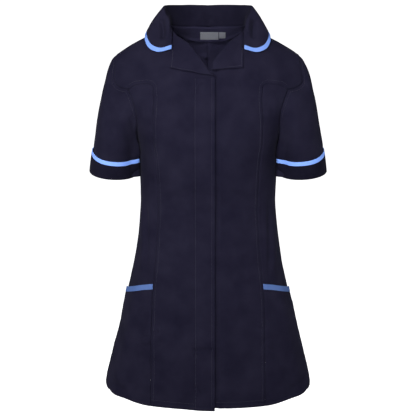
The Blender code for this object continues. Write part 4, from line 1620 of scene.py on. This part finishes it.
    def between(self, top: Sequence[float], bottom: Sequence[float], levels: Array, fall: float) -> Array:
        """Rings between two rows of sizes.

        Args:
            top: Sizes of the first ring.
            bottom: Sizes of the last ring.
            levels: Share of the way for each ring.
            fall: How much of the arch is lost on the way.

        Returns:
            The rings, arched up at the outer and inner side.
        """
        shares = evenly(self.columns + 1)
        start = np.array(top)
        rings = np.array([self.ring(start + (np.array(bottom) - start) * level, shares) for level in levels])
        ends = np.cos(shares * 2.0 * math.pi) ** 4
        rings[..., 2] += self.arch * (1.0 - fall * levels)[:, None] * ends
        return rings

    def dressed(self, points: Array, head: bool) -> ClothGrid:
        """Turn the rings to their side and raise their folds.

        Args:
            points: Rings for the left side.
            head: Whether they start with the gathered sleeve head.

        Returns:
            The cloth.
        """
        points = self.hand.turn(points)
        hint = points * np.array([1.0, 1.0, 0.0]) - np.array([self.middle * self.hand.value, 0.0, 0.0])
        outward = outward_of(points, hint, closed=True)
        rise = self.surface.relief.height(points)
        down = ClothGrid(points, outward).lengths()[1]
        if head:
            upper = smooth_step(0.62, 0.48, 1.0 - np.abs(np.linspace(-1.0, 1.0, points.shape[1])))
            bump = smooth_step(0.0, 0.0035, down) * smooth_step(0.020, 0.004, down)
            rise = rise * smooth_step(0.0, 0.016, down) + self.head_rise * bump * (0.35 + 0.65 * upper[None])
            gathers = Crumple(0.011, 0.0005, 31).height(points) * smooth_step(0.030, 0.003, down)
            rise = rise + gathers * smooth_step(0.0, 0.002, down)
        else:
            rise = rise * self.cuff_relief
        moved = points + outward * rise[..., None]
        return ClothGrid(moved, outward_of(moved, hint, closed=True))

    def build(self) -> None:
        """Sew the sleeve, the cuff and the band, with their stitches."""
        word = self.hand.word
        sleeve = self.dressed(self.cloth(), head=True)
        ClothPiece(
            name=f"set_in_sleeve_{word}", node=f"sleeve_{word}", grids=[sleeve], finish=NAVY,
            rests_on=(f"side_front_{word}", f"centre_front_{word}", f"back_{word}"),
        ).sew()
        levels = evenly(12)
        rings = self.between(self.cuff_top, self.cuff_hem, levels, 0.9)
        rings = self.pressed(rings, self.press * smooth_step(0.85, 0.30, levels))
        cuff = self.dressed(rings, head=False)
        # The cuff takes the navy darkened as painted shade.
        ClothPiece(
            name=f"turn_up_cuff_{word}", node=f"cuff_{word}", hold=Hold.FOLDED, wall=DOUBLE_CLOTH,
            grids=[cuff.turned_under(Edge.BOTTOM, 0.0010, 0.0110)], finish=NAVY_PAINTED_SHADE_CUFF,
            rests_on=(f"sleeve_{word}",),
        ).sew()
        levels = np.linspace(0.0, 0.985, 8)
        rings = self.between(self.band_top, self.cuff_top, levels, 0.0)
        rings = self.pressed(rings, np.full(len(levels), self.press))
        band = self.dressed(rings, head=False)
        ClothPiece(
            name=f"cuff_band_{word}", node=f"cuff_trim_{word}", hold=Hold.FOLDED,
            grids=[band.turned_under(Edge.TOP, 0.0007, 0.0060)], finish=SKY,
            rests_on=(f"sleeve_{word}", f"cuff_{word}"),
        ).sew()
        stitches = Stitching(f"armhole_stitches_{word}", finish=SEAM_THREAD)
        line, ways = sleeve.inside(Edge.TOP, self.stitch_inside)
        half = self.columns // 2
        first = half - self.columns // 5
        stitches.add(line[2:first], ways[2:first])
        stitches.add(line[-first:-2], ways[-first:-2])
        stitches.sew()


@dataclass
class Lapel:
    """A turned-back lapel with a soft roll at the front's edge."""

    hand: Hand
    surface: ClothSurface
    roll: Rows
    outer: Rows
    lower: Rows
    curl: float = 0.00215
    middle: float = 0.00085
    rest: float = 0.0021
    start: float = 0.0375
    stand_off: float = 0.0022
    stitch_inside: float = 0.0036
    stitch_sink: float = 0.0003

    def grid(self) -> ClothGrid:
        """The lapel from its gorge down, and from the roll to the outer edge.

        Returns:
            The cloth, with its roll in the first columns.
        """
        roll = turn_line(self.roll)
        down = spread(roll.length, 0.0034, start=(0.0, 0.0008), end=EDGE_STEPS)
        turn = roll.at(self.start + (1.0 - self.start) * down)
        outer = CUT.line(self.outer)
        lower = CUT.line(self.lower)
        across = spread(lower.length, 0.0034, start=(0.0, 0.0010, 0.0025), end=EDGE_STEPS)
        gorge = Line.through([turn[0], FORM.place_at(*self.outer[0])])
        places = filled(gorge.at(across), lower.at(across), turn, outer.at(down), across, down)
        places = self.hand.turn(places)
        base = FORM.points(places)
        normals = FORM.normals(places)
        rise = self.surface.relief.height(base)
        away = base[:, 0] - base[:, 1]
        away = unit(away - normals[:, 0] * np.sum(away * normals[:, 0], axis=-1, keepdims=True))
        columns = []
        for angle in np.radians(np.linspace(-90.0, 90.0, 11)):
            out = self.middle + self.curl * math.sin(angle) + rise[:, 0]
            side = 0.0003 + self.curl * math.cos(angle)
            columns.append(base[:, 0] + away * side + normals[:, 0] * out[:, None])
        run = run_of(np.swapaxes(base, 0, 1)).T
        reach = run / run[:, -1:]
        high = self.middle + self.curl
        lift = self.rest + (high - self.rest) * (1.0 - smooth_step(0.0, 0.6, reach)) + rise
        to_edge = np.minimum(run[:, -1:] - run, (1.0 - down[:, None]) * 0.110)
        free = smooth_step(0.020, 0.0, to_edge) * smooth_step(0.10, 0.35, down)[:, None]
        lift = lift + self.stand_off * free - self.stitch_sink * bell(to_edge - self.stitch_inside, STITCH_GROOVE)
        for column in range(1, base.shape[1]):
            columns.append(base[:, column] + normals[:, column] * lift[:, column, None])
        points = np.swapaxes(np.array(columns), 0, 1)
        hint = np.concatenate([np.repeat(normals[:, :1], 10, axis=1), normals], axis=1)
        return ClothGrid(points, outward_of(points, hint))

    def build(self) -> None:
        """Sew the lapel and its edge stitching."""
        grid = self.grid()
        word = self.hand.word
        ClothPiece(
            name=f"turned_lapel_{word}", node=f"lapel_{word}", grids=[grid], finish=NAVY,
            rests_on=(f"centre_front_{word}",), hold=Hold.FOLDED, wall=DOUBLE_CLOTH, round_edge=0.0004,
        ).sew()
        stitches = Stitching(f"lapel_stitches_{word}")
        for edge, first in ((Edge.BOTTOM, 16), (Edge.RIGHT, 3)):
            line, ways = grid.inside(edge, self.stitch_inside)
            stitches.add(line[first:-3], ways[first:-3])
        stitches.sew()


def turn_line(roll: Sequence[Row]) -> Line:
    """The edge where a front turns back as its lapel, from the end of the neck seam."""
    return Line.through([FORM.place_above(*CUT.neck_front[-1], False), *(FORM.place_at(*row) for row in roll)])


@dataclass
class Collar:
    """The revere collar in one folded sheet, stand and fall, with the band along its outer edge.

    Roll rows give the distance from the middle, the distance behind and the height of the fold's top.
    Edge rows give the distance from the middle and the distance behind of the outer edge.
    """

    relief: Relief
    roll_top: Rows = (
        (0.0000, 0.0600, 0.0295), (0.0320, 0.0560, 0.0315), (0.0600, 0.0380, 0.0340), (0.0765, 0.0180, 0.0365),
        (0.0840, 0.0020, 0.0378), (0.0852, -0.0080, 0.0340), (0.0770, -0.0210, 0.0155), (0.0720, -0.0285, -0.0005),
        (0.0684, -0.0285, -0.0045),
    )
    outer_edge: Rows = (
        (0.0000, 0.0720), (0.0480, 0.0680), (0.0860, 0.0560), (0.1100, 0.0330), (0.1195, 0.0080), (0.1196, -0.0150),
        (0.1120, -0.0345), (0.0930, -0.0470), (0.0688, -0.0505),
    )
    lift: float = 0.0052
    radius: float = 0.0032
    band_width: float = 0.0086
    band_gap: float = 0.0001
    swell: float = 0.120
    inside_rows: int = 16
    columns: int = 72

    def rows(self) -> tuple[Array, Array, Array]:
        """The seam, the top of the roll and the outer edge, round half the neck.

        Returns:
            The points of the three lines.
        """
        back = FORM.points(CUT.neck(True).at(evenly(9)))
        front = FORM.points(CUT.neck(False).at(evenly(4)))
        seam = np.concatenate([back, front[1:]])
        share = run_of(seam) / run_of(seam)[-1]
        even = evenly(self.columns + 1)
        mixed = np.interp(even, evenly(len(share)), share)
        steps = evenly(len(self.roll_top))
        roll = np.array(self.roll_top)
        places = np.array([FORM.place_above(*row, row[1] > 0.0) for row in self.outer_edge])
        edge = FORM.points(places) + FORM.normals(places) * self.lift
        return smooth_points(share, seam, mixed), smooth_points(steps, roll, even), smooth_points(steps, edge, even)

    def section(self, seam: Array, roll: Array, edge: Array) -> tuple[Array, Array]:
        """Line across the collar: up the stand, over the roll, down the fall and on along the band.

        Args:
            seam: Point on the neck seam.
            roll: Top of the roll.
            edge: Point on the outer edge.

        Returns:
            Points across the navy cloth, and points across the band.
        """
        out = edge - seam
        out[2] = 0.0
        out = unit(out)
        up = np.array([0.0, 0.0, 1.0])
        radius = min(self.radius, 0.45 * (roll[2] - seam[2]))
        centre = roll - up * radius
        start = seam + up * 0.0002
        inner = centre - out * radius
        line = [start + (inner - start) * share for share in evenly(12)]
        way = unit(edge - centre)
        side = unit(np.cross(np.cross(way, up), way))
        side = side * (1.0 if float(side @ out) >= 0.0 else -1.0)
        end = math.atan2(float(side @ up), float(side @ out))
        for angle in np.linspace(math.pi, end, 11)[1:]:
            line.append(centre + (out * math.cos(angle) + up * math.sin(angle)) * radius)
        turned = len(line)
        first = line[-1]
        span = edge - first
        swell = self.swell * float(np.linalg.norm(span))
        for share in evenly(28)[1:]:
            line.append(first + span * share + side * swell * share * (1.0 - share))
        points = np.array(line)
        runs = run_of(points)
        cut = runs[-1] - self.band_width
        fall = np.linspace(runs[turned - 1], cut - self.band_gap, 34)[1:]
        trim = np.linspace(cut + self.band_gap, runs[-1], 8)
        cloth = np.concatenate([points[:turned], straight_points(runs, points, fall)])
        return cloth, straight_points(runs, points, trim)

    def build(self) -> None:
        """Sew the collar and its band."""
        found = [self.section(*row) for row in zip(*self.rows())]
        pieces = (
            ("revere_collar", "collar", 0, NAVY, ("back_left", "back_right")),
            # The collar band takes the sky twill darkened as painted shade.
            ("collar_band", "collar_trim", 1, SKY_COLLAR_PAINTED_SHADE, ("collar", "back_left", "back_right")),
        )
        for name, node, index, finish, rests in pieces:
            half = np.array([pair[index] for pair in found])
            whole = np.swapaxes(np.concatenate([Hand.RIGHT.turn(half[::-1]), half[1:]]), 0, 1)
            hint = whole * np.array([1.0, 1.0, 0.0]) + np.array([0.0, 0.0, 0.08])
            if index == 0:
                hint[:20] = np.array([0.0, 0.0, 0.0001])
            outward = outward_of(whole, hint)
            rise = self.relief.height(whole)
            moved = whole + outward * rise[..., None]
            grids = [ClothGrid(moved, outward)]
            if index == 0:
                cut = self.inside_rows
                # The stand's rows take tone 1, the navy darkened as painted shade.
                grids = [ClothGrid(moved[:cut + 1], outward[:cut + 1], tone=1), ClothGrid(moved[cut:], outward[cut:])]
            ClothPiece(
                name=name, node=node, grids=grids, finish=finish, rests_on=rests, hold=Hold.FOLDED,
                wall=DOUBLE_CLOTH, round_edge=0.0004, inner=NAVY_PAINTED_SHADE_STAND if index == 0 else None, stacked=True,
            ).sew()


@dataclass
class Placket:
    """The strip of the right front that covers the fastening."""

    surface: ClothSurface
    free_edge: float = -0.0134
    inner_edge: float = 0.0268
    top: float = -0.0882
    free_lift: float = 0.0030
    inner_lift: float = 0.0010
    rows_of_stitches: tuple[float, float] = (0.0062, 0.0382)
    stitch_sink: float = 0.0004
    crumples: tuple[Crumple, Crumple] = (Crumple(0.010, 0.00045, 17), Crumple(0.005, 0.0002, 21))

    def build(self) -> None:
        """Sew the strip with its rows of stitches."""
        width = self.inner_edge - self.free_edge
        across = spread(width, 0.0030, start=EDGE_STEPS, end=EDGE_STEPS)
        down = spread(0.655, 0.0036, end=EDGE_STEPS)
        sides = self.free_edge + width * across
        lows = from_rows(CUT.hem_right, sides)
        places = np.array([
            [FORM.place_at(float(side), float(self.top + (low - self.top) * share)) for side, low in zip(sides, lows)]
            for share in down
        ])
        places = Hand.RIGHT.turn(places)
        base = FORM.points(places)
        inside = width * across[None, :]
        lift = self.free_lift + (self.inner_lift - self.free_lift) * smooth_step(0.012, width, inside)
        for crumple in self.crumples:
            lift = lift + crumple.height(base)
        for distance in self.rows_of_stitches:
            lift = lift - self.stitch_sink * bell(inside - distance, STITCH_GROOVE)
        grid = ClothGrid(self.surface.points(places, lift, sewn=False), FORM.normals(places))
        ClothPiece(
            name="front_strip", node="placket", grids=[grid], finish=NAVY,
            rests_on=("centre_front_right", "centre_front_left"), wall=DOUBLE_CLOTH, round_edge=0.0004,
        ).sew()
        stitches = Stitching("front_strip_stitches")
        for distance in self.rows_of_stitches:
            line, ways = grid.inside(Edge.LEFT, distance)
            stitches.add(line, ways)
        stitches.sew()


def at_heights(places: Array, points: Array, heights: Array) -> Array:
    """Read places down the first columns of a grid.

    Args:
        places: The grid of places.
        points: The point of each place.
        heights: Wanted heights, with a column for each column to read.

    Returns:
        The place at each height.
    """
    found = [straight_points(-points[:, column, 2], places[:, column], -row) for column, row in enumerate(heights.T)]
    return np.swapaxes(np.array(found), 0, 1)


@dataclass
class Pocket:
    """A hip pocket on a side front, with the band at its slanted mouth."""

    hand: Hand
    surface: ClothSurface
    mouth: Rows = ((0.00, -0.4982), (0.25, -0.5036), (0.50, -0.5122), (0.75, -0.5215), (1.00, -0.5320))
    band_width: float = 0.0108
    proud: float = 0.0016
    sewn_lift: float = 0.0006
    band_lift: float = 0.0004

    def build(self) -> None:
        """Sew the pocket and its band."""
        side = SideFront(self.hand, self.surface)
        places = side.places()
        across = side.across()
        points = FORM.points(places)
        lips = from_rows(self.mouth, across)
        out = self.proud * (0.35 + 0.65 * across)[None, :]
        levels = spread(self.band_width, 0.0016, start=(0.0, 0.0006), end=(0.0, 0.0006))
        band = at_heights(places, points, lips - self.band_width * levels[:, None])
        shares = spread(0.225, 0.0038, start=(0.0, 0.0008, 0.0020, 0.0040), end=EDGE_STEPS)
        lows = points[-1, :, 2] + 0.0004
        tops = lips - self.band_width
        pocket = at_heights(places, points, tops + (lows - lips + self.band_width) * shares[:, None])
        bulge = out * (1.0 - smooth_step(0.0, 0.6, shares))[:, None]
        runs = run_of(points[len(points) // 2])
        flat = self.sewn_lift + (LAYER - self.sewn_lift) * smooth_step(0.0, 0.010, runs)[None]
        word = self.hand.word
        for name, node, layer, lift, finish in (
            (f"hip_pocket_{word}", f"pocket_{word}", pocket, flat + bulge, NAVY),
            # The band takes the sky twill darkened as painted shade.
            (f"pocket_band_{word}", f"pocket_trim_{word}", band, flat + self.band_lift + out, SKY_POCKET_PAINTED_SHADE),
        ):
            turned = self.hand.turn(layer)
            grid = ClothGrid(self.surface.points(turned, lift), FORM.normals(turned))
            ClothPiece(name=name, node=node, grids=[grid], finish=finish, rests_on=(f"side_front_{word}",),
                       wall=DOUBLE_CLOTH, round_edge=0.0004).sew()


@dataclass
class NeckInside:
    """What is seen inside the back of the neck: the facing, the label and the size tab, both left bare."""

    surface: ClothSurface
    facing_low: Rows = ((0.0000, -0.0425), (0.0260, -0.0420), (0.0453, -0.0355), (0.0640, -0.0210))
    facing_depth: float = 0.0030
    facing_flare: float = 0.0016
    label_depth: float = 0.0042
    off_middle: float = 1e-6
    boxes: tuple[tuple[str, str, Quad], ...] = (
        ("bare_neck_label", "neck_label", (-0.0155, 0.0208, -0.0205, -0.0375)),
        ("bare_size_tab", "size_tab", (0.0222, 0.0352, -0.0205, -0.0345)),
    )

    def build(self) -> None:
        """Sew the facing and the two labels."""
        panel = BackPanel(Hand.LEFT, self.surface)
        places = panel.places()
        points = FORM.points(places)
        count = int(np.searchsorted(panel.upper_edge()[1], panel.neck_share() * 0.90))
        down = evenly(16)
        tops = points[0, :count, 2] - 0.0006
        lows = from_rows(self.facing_low, points[0, :count, 0])
        left = at_heights(places, points, tops + (lows - tops) * down[:, None])
        whole = np.concatenate([Hand.RIGHT.turn(left[:, :0:-1]), left], axis=1)
        flare = self.facing_flare * smooth_step(0.70, 1.0, down)[:, None]
        inner = ClothGrid(self.surface.points(whole, -self.facing_depth - flare, sewn=False), -FORM.normals(whole))
        # The facing takes the navy lightened as painted light.
        ClothPiece(name="neck_facing_cloth", node="neck_facing", grids=[inner], finish=NAVY_PAINTED_LIGHT_INSIDE,
                   rests_on=("back_left", "back_right")).sew()
        for name, node, (left_side, right_side, high, low) in self.boxes:
            sides = spread(right_side - left_side, 0.0022, start=(0.0, 0.0006), end=(0.0, 0.0006))
            across = (left_side + (right_side - left_side) * sides).tolist()
            label = np.array([
                [FORM.place_at(math.copysign(abs(side) + self.off_middle, side), height, True) for side in across]
                for height in np.linspace(high, low, 9).tolist()
            ])
            grid = ClothGrid(self.surface.points(label, -self.label_depth, sewn=False), -FORM.normals(label))
            ClothPiece(name=name, node=node, grids=[grid], finish=GREY, rests_on=("neck_facing",),
                       wall=0.0006, round_edge=0.0002).sew()


@dataclass(frozen=True)
class SoftLight:
    """One soft box of the studio."""

    name: str
    place: Triple
    aim: Triple
    size: tuple[float, float]
    power: float
    spread: float = 180.0

    def hang(self) -> None:
        """Put up the light."""
        lamp = bpy.data.lights.new(self.name, "AREA")
        lamp.shape = "RECTANGLE"
        lamp.size, lamp.size_y = self.size
        lamp.energy = self.power
        lamp.spread = math.radians(self.spread)
        item = put_in_scene(self.name, lamp)
        item.location = self.place
        across, ahead, up = (end - start for start, end in zip(self.place, self.aim))
        item.rotation_euler = (math.acos(-up / math.hypot(across, ahead, up)), 0.0, math.atan2(-across, ahead))
        item.visible_camera = False


@dataclass
class Studio:
    """The plain pale floor, the soft lights and the camera of the photograph."""

    floor_height: float = -1.45
    floor_size: float = 60.0
    world: float = 0.16
    aim: Triple = (0.0, 0.0, -0.3681)
    distance: float = 3.2
    pitch: float = 15.5
    focal: float = 138.46
    sensor: float = 36.0
    lights: tuple[SoftLight, ...] = (
        SoftLight("key_softbox", (-1.00, -2.2, 2.00), (0.0, 0.0, -0.22), (0.5, 0.4), 7.0, 50.0),
        SoftLight("upper_softbox", (-0.10, -3.0, 0.90), (0.0, 0.0, -0.05), (1.2, 0.8), 2.6, 46.0),
        SoftLight("lower_softbox", (-0.10, -3.0, -0.10), (0.0, 0.0, -0.08), (1.2, 0.8), 3.9, 46.0),
        SoftLight("left_softbox", (-2.2, -1.6, -0.2), (0.0, 0.0, -0.35), (0.8, 1.6), 3.2, 120.0),
        SoftLight("right_softbox", (2.2, -1.6, -0.2), (0.0, 0.0, -0.35), (0.8, 1.6), 3.2, 120.0),
        SoftLight("left_strip", (-2.2, 0.3, -0.2), (0.0, 0.0, -0.40), (0.8, 1.6), 8.0, 120.0),
        SoftLight("right_strip", (2.2, 0.3, -0.2), (0.0, 0.0, -0.40), (0.8, 1.6), 8.0, 120.0),
        SoftLight("back_softbox", (0.3, 3.0, -0.10), (0.0, 0.0, -0.35), (1.2, 0.8), 22.0, 60.0),
    )

    def build(self) -> None:
        """Lay the floor, hang the lights and set the camera."""
        half = self.floor_size / 2.0
        mesh = bpy.data.meshes.new("studio_floor")
        corners = [(-half, -half), (half, -half), (half, half), (-half, half)]
        mesh.from_pydata([(x, y, self.floor_height) for x, y in corners], [], [(0, 1, 2, 3)])
        floor = put_in_scene("studio_floor", mesh)
        mesh.materials.append(StudioFinish().material())
        world = bpy.data.worlds.new("studio_air")
        world.use_nodes = True
        background = world.node_tree.nodes["Background"].inputs
        background["Color"].default_value = (1.0, 1.0, 1.0, 1.0)
        background["Strength"].default_value = self.world
        scene = bpy.context.scene
        scene.world = world
        scene.view_settings.view_transform = "Standard"
        for light in self.lights:
            light.hang()
        lens = bpy.data.cameras.new("photo_camera")
        lens.lens = self.focal
        lens.sensor_width = self.sensor
        lens.clip_end = 200.0
        camera = put_in_scene("photo_camera", lens)
        pitch = math.radians(self.pitch)
        camera.location = (
            self.aim[0], self.aim[1] - self.distance * math.cos(pitch), self.aim[2] + self.distance * math.sin(pitch),
        )
        camera.rotation_euler = (math.pi / 2.0 - pitch, 0.0, 0.0)
        scene.camera = camera


def creases(face: Face, fade: float, *rows: tuple[float, ...]) -> tuple[Crease, ...]:
    """Make creases on one face of the garment.

    Args:
        face: The face they run on.
        fade: Share of the length over which each end fades out.
        *rows: Rise, reach, and then side and height of each point of the path, in tenths of a millimetre.

    Returns:
        The creases in the same order.
    """
    sizes = [[value / TENTHS_PER_METRE for value in row] for row in rows]
    return tuple(Crease(tuple(zip(row[2::2], row[3::2])), row[0], row[1], face, fade) for row in sizes)


CREASES = (
    *creases(
        Face.FRONT, 0.3,
        (19, 55, -1299, -1250, -1282, -1620), (16, 50, -1163, -1350, -1127, -1760),
        (-7, 35, -1230, -1300, -1205, -1680), (38, 60, -1280, -3300, -1283, -5055),
        (28, 48, -1132, -3000, -1140, -5016), (-29, 45, -1205, -3300, -1200, -4358, -1215, -5000),
        (26, 45, -1130, -5860, -940, -5840), (27, 50, -1300, -6140, -1090, -6095),
        (-12, 48, -1240, -6790, -1040, -6860), (-42, 85, -1980, -7080, -1807, -7159, -1600, -7235),
        (34, 130, -1300, -5200, -1470, -5638, -1640, -6100), (-30, 38, -92, -930, -168, -1059, -187, -1210),
    ),
    *creases(Face.FRONT, 0.12, (-38, 42, -310, -6226, 130, -6203)),
    *creases(
        Face.FRONT, 0.3,
        (-30, 38, -290, -6320, -200, -6335), (-34, 45, -300, -6880, -140, -7140), (-18, 55, -740, -770, -930, -910),
        (12, 62, -700, -890, -330, -990), (6, 90, -900, -1180, -500, -1280),
        (14, 150, -500, -4500, -620, -5800, -680, -7100), (-12, 120, -850, -5200, -930, -6200, -980, -7200),
        (12, 80, -300, -2900, -950, -3150), (-12, 70, -350, -3500, -900, -3420),
        (-12, 110, -1500, -1850, -1510, -2300, -1480, -2720),
        (-26, 60, -1530, -1400, -1455, -1700, -1415, -2050, -1405, -2600),
        (13, 85, -1750, -1200, -1720, -1750, -1640, -2300), (10, 110, -1950, -1150, -2020, -1800, -2050, -2300),
        (-9, 75, -1850, -1500, -1830, -2350), (18, 58, 1310, -1230, 1270, -1660), (14, 50, 1170, -1400, 1125, -1730),
        (36, 62, 1280, -3350, 1290, -5070), (27, 50, 1120, -3100, 1150, -4900), (-27, 45, 1200, -3400, 1215, -4900),
        (24, 45, 1120, -5780, 950, -5750), (26, 50, 1290, -6210, 1080, -6160),
        (-40, 85, 1970, -7060, 1790, -7150, 1620, -7230), (31, 130, 1310, -5220, 1480, -5660, 1650, -6120),
        (12, 60, 400, -1080, 640, -1000), (-16, 55, 780, -790, 950, -920),
        (13, 160, 520, -4700, 600, -5900, 700, -7150), (-11, 120, 850, -5300, 920, -6300, 990, -7200),
        (12, 85, 340, -2950, 930, -3120), (-11, 110, 1500, -1900, 1515, -2350, 1480, -2720),
        (-25, 60, 1530, -1430, 1455, -1720, 1417, -2070, 1407, -2600),
        (12, 85, 1730, -1250, 1710, -1800, 1630, -2300), (11, 105, 1960, -1200, 2030, -1850, 2050, -2300),
        (-8, 80, 1860, -1550, 1840, -2300),
    ),
    *creases(
        Face.BACK, 0.3,
        (14, 110, -1050, -1200, -850, -1800, -900, -2500), (12, 110, 1040, -1250, 840, -1900, 880, -2450),
        (-10, 80, -950, -2900, -300, -3100), (-11, 85, 900, -3000, 250, -3250), (9, 90, -600, -3400, 500, -3500),
        (22, 180, -450, -4200, -560, -5600, -700, -7100), (20, 170, 400, -4300, 500, -5800, 620, -7150),
        (-22, 110, -1500, -1800, -1520, -2300, -1480, -2650), (-20, 110, 1500, -1850, 1510, -2300, 1480, -2650),
        (13, 100, -1800, -1300, -1750, -2200), (12, 100, 1790, -1250, 1760, -2250),
    ),
    *creases(
        Face.BOTH, 0.2,
        (-76, 56, -915, 180, -875, -20, -865, -230), (-62, 56, 915, 170, 880, -10, 870, -220),
    ),
    *creases(
        Face.BOTH, 0.3,
        (48, 44, -795, 240, -768, 50, -745, -210), (46, 44, 795, 230, 768, 50, 745, -200),
    ),
    *creases(
        Face.BACK, 0.3,
        (-20, 38, -23, -80, 80, 100), (18, 38, 100, 80, 280, -20), (-18, 42, -380, 170, -220, 20),
        (-36, 42, -37, -405, 3, -500, 63, -585, 83, -750), (-34, 40, -177, -760, 83, -765),
    ),
)
CRUMPLES = (Crumple(0.060, 0.0013, 5), Crumple(0.021, 0.00048, 9), Crumple(0.0085, 0.00011, 13))

ROLL_RIGHT = (
    (0.0598, -0.0170), (0.0492, -0.0233), (0.0396, -0.0290), (0.0252, -0.0443), (0.0114, -0.0608),
    (-0.0032, -0.0776), (-0.0134, -0.0848),
)
ROLL_LEFT = (
    (0.0585, -0.0166), (0.0478, -0.0232), (0.0380, -0.0307), (0.0286, -0.0400), (0.0194, -0.0503),
    (0.0120, -0.0608), (0.0090, -0.0738),
)
TUCK_LEFT = ((0.0090, -0.0738), (-0.0050, -0.0880), (-0.0280, -0.0970))


def tunic_seams() -> list[Seam]:
    """The seams that show on the outer cloth of the body.

    Returns:
        The seams of each side, and the middle one.
    """
    seams = []
    for hand in Hand:
        raised = {"style": SeamStyle.TOPSTITCHED, "raised": -hand.value, "seed": 3 if hand is Hand.LEFT else 4}
        for word, parts, sizes in (
            ("princess", ((CUT.line(CUT.princess_top).reversed(), 50), (CUT.line(CUT.princess_down), 330)), raised),
            ("armhole", ((CUT.line(CUT.armhole_upper), 30), (CUT.line(CUT.armhole_fold), 20),
                         (CUT.line(CUT.armhole_lower), 80)), {"groove": 0.0020, "groove_reach": 0.0018}),
            ("armhole_back", ((CUT.line(CUT.armhole_back, back=True), 110),), {"groove": 0.0007}),
            ("side", ((CUT.side_seam(), 280),), {"groove": 0.0008, "seed": 6}),
            ("shoulder", ((CUT.shoulder(CUT.shoulder_inner[0], *CUT.shoulder_outer), 60),),
             {"groove": 0.0006, "seed": 7}),
        ):
            seams.append(Seam(f"{word}_{hand.word}", hand.turn(dense_along(*parts)), FORM, **sizes))
    middle = Line.through([FORM.place_above(*CUT.neck_back[0], True), FORM.place_at(*CUT.hem_back[0], True)])
    seams.append(Seam("middle_back", middle.dense(340), FORM, groove=0.0008, seed=8))
    return seams


def sew_body_stitches(surface: ClothSurface) -> None:
    """Topstitch the princess seams.

    Args:
        surface: The cloth to sew on.
    """
    for seam in surface.seams:
        if seam.style is not SeamStyle.TOPSTITCHED:
            continue
        places = seam.stitch_places(seam.stitch_at, seam.raised)[6:-4]
        stitches = Stitching(f"{seam.name}_stitches", finish=SEAM_THREAD)
        stitches.add(surface.points(places), FORM.normals(places))
        stitches.sew()


def sew_hem_stitches(surface: ClothSurface, rise: float = 0.0118) -> None:
    """Stitch the hem all round, above its fold.

    Args:
        surface: The cloth to sew on.
        rise: Height of the row above the hem.
    """
    stitches = Stitching("hem_stitches", finish=SEAM_THREAD, pitch=0.0030)
    for hand, rows, start, back in (
        (Hand.LEFT, CUT.hem_left, 0.0150, False), (Hand.RIGHT, CUT.hem_right, 0.0275, False),
        (Hand.LEFT, CUT.hem_back, 0.0020, True), (Hand.RIGHT, CUT.hem_back, 0.0020, True),
    ):
        places = hand.turn(CUT.hem(rows, start, None, back, rise).dense(120)[:-1])
        stitches.add(surface.points(places), FORM.normals(places))
    stitches.sew()


def main() -> None:
    """Build the tunic piece by piece, then the studio."""
    logging.basicConfig(level=logging.INFO, format="%(message)s")
    relief = Relief(CREASES, CRUMPLES)
    surface = ClothSurface(FORM, relief, tunic_seams())
    CentreFront(Hand.RIGHT, surface, ROLL_RIGHT, (), -0.0134, CUT.hem_right).build()
    CentreFront(Hand.LEFT, surface, ROLL_LEFT, TUCK_LEFT, -0.0280, CUT.hem_left, tuck_depth=0.0034).build()
    for hand in Hand:
        SideFront(hand, surface).build()
        Sleeve(hand, surface).build()
        Pocket(hand, surface).build()
        BackPanel(hand, surface).build()
    Lapel(
        Hand.RIGHT, surface, ROLL_RIGHT, ((0.0656, -0.0379), (0.0700, -0.0570), (0.0722, -0.0722)),
        ((-0.0134, -0.0850), (0.0024, -0.0825), (0.0378, -0.0768), (0.0722, -0.0722)),
    ).build()
    Lapel(
        Hand.LEFT, surface, ROLL_LEFT, ((0.0656, -0.0379), (0.0664, -0.0540), (0.0668, -0.0703)),
        ((0.0094, -0.0736), (0.0200, -0.0731), (0.0422, -0.0718), (0.0668, -0.0703)),
    ).build()
    Collar(relief).build()
    Placket(surface).build()
    NeckInside(surface).build()
    sew_body_stitches(surface)
    sew_hem_stitches(surface)
    Studio().build()
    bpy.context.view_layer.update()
    LOG.info("the tunic is whole")


if __name__ == "__main__":
    main()
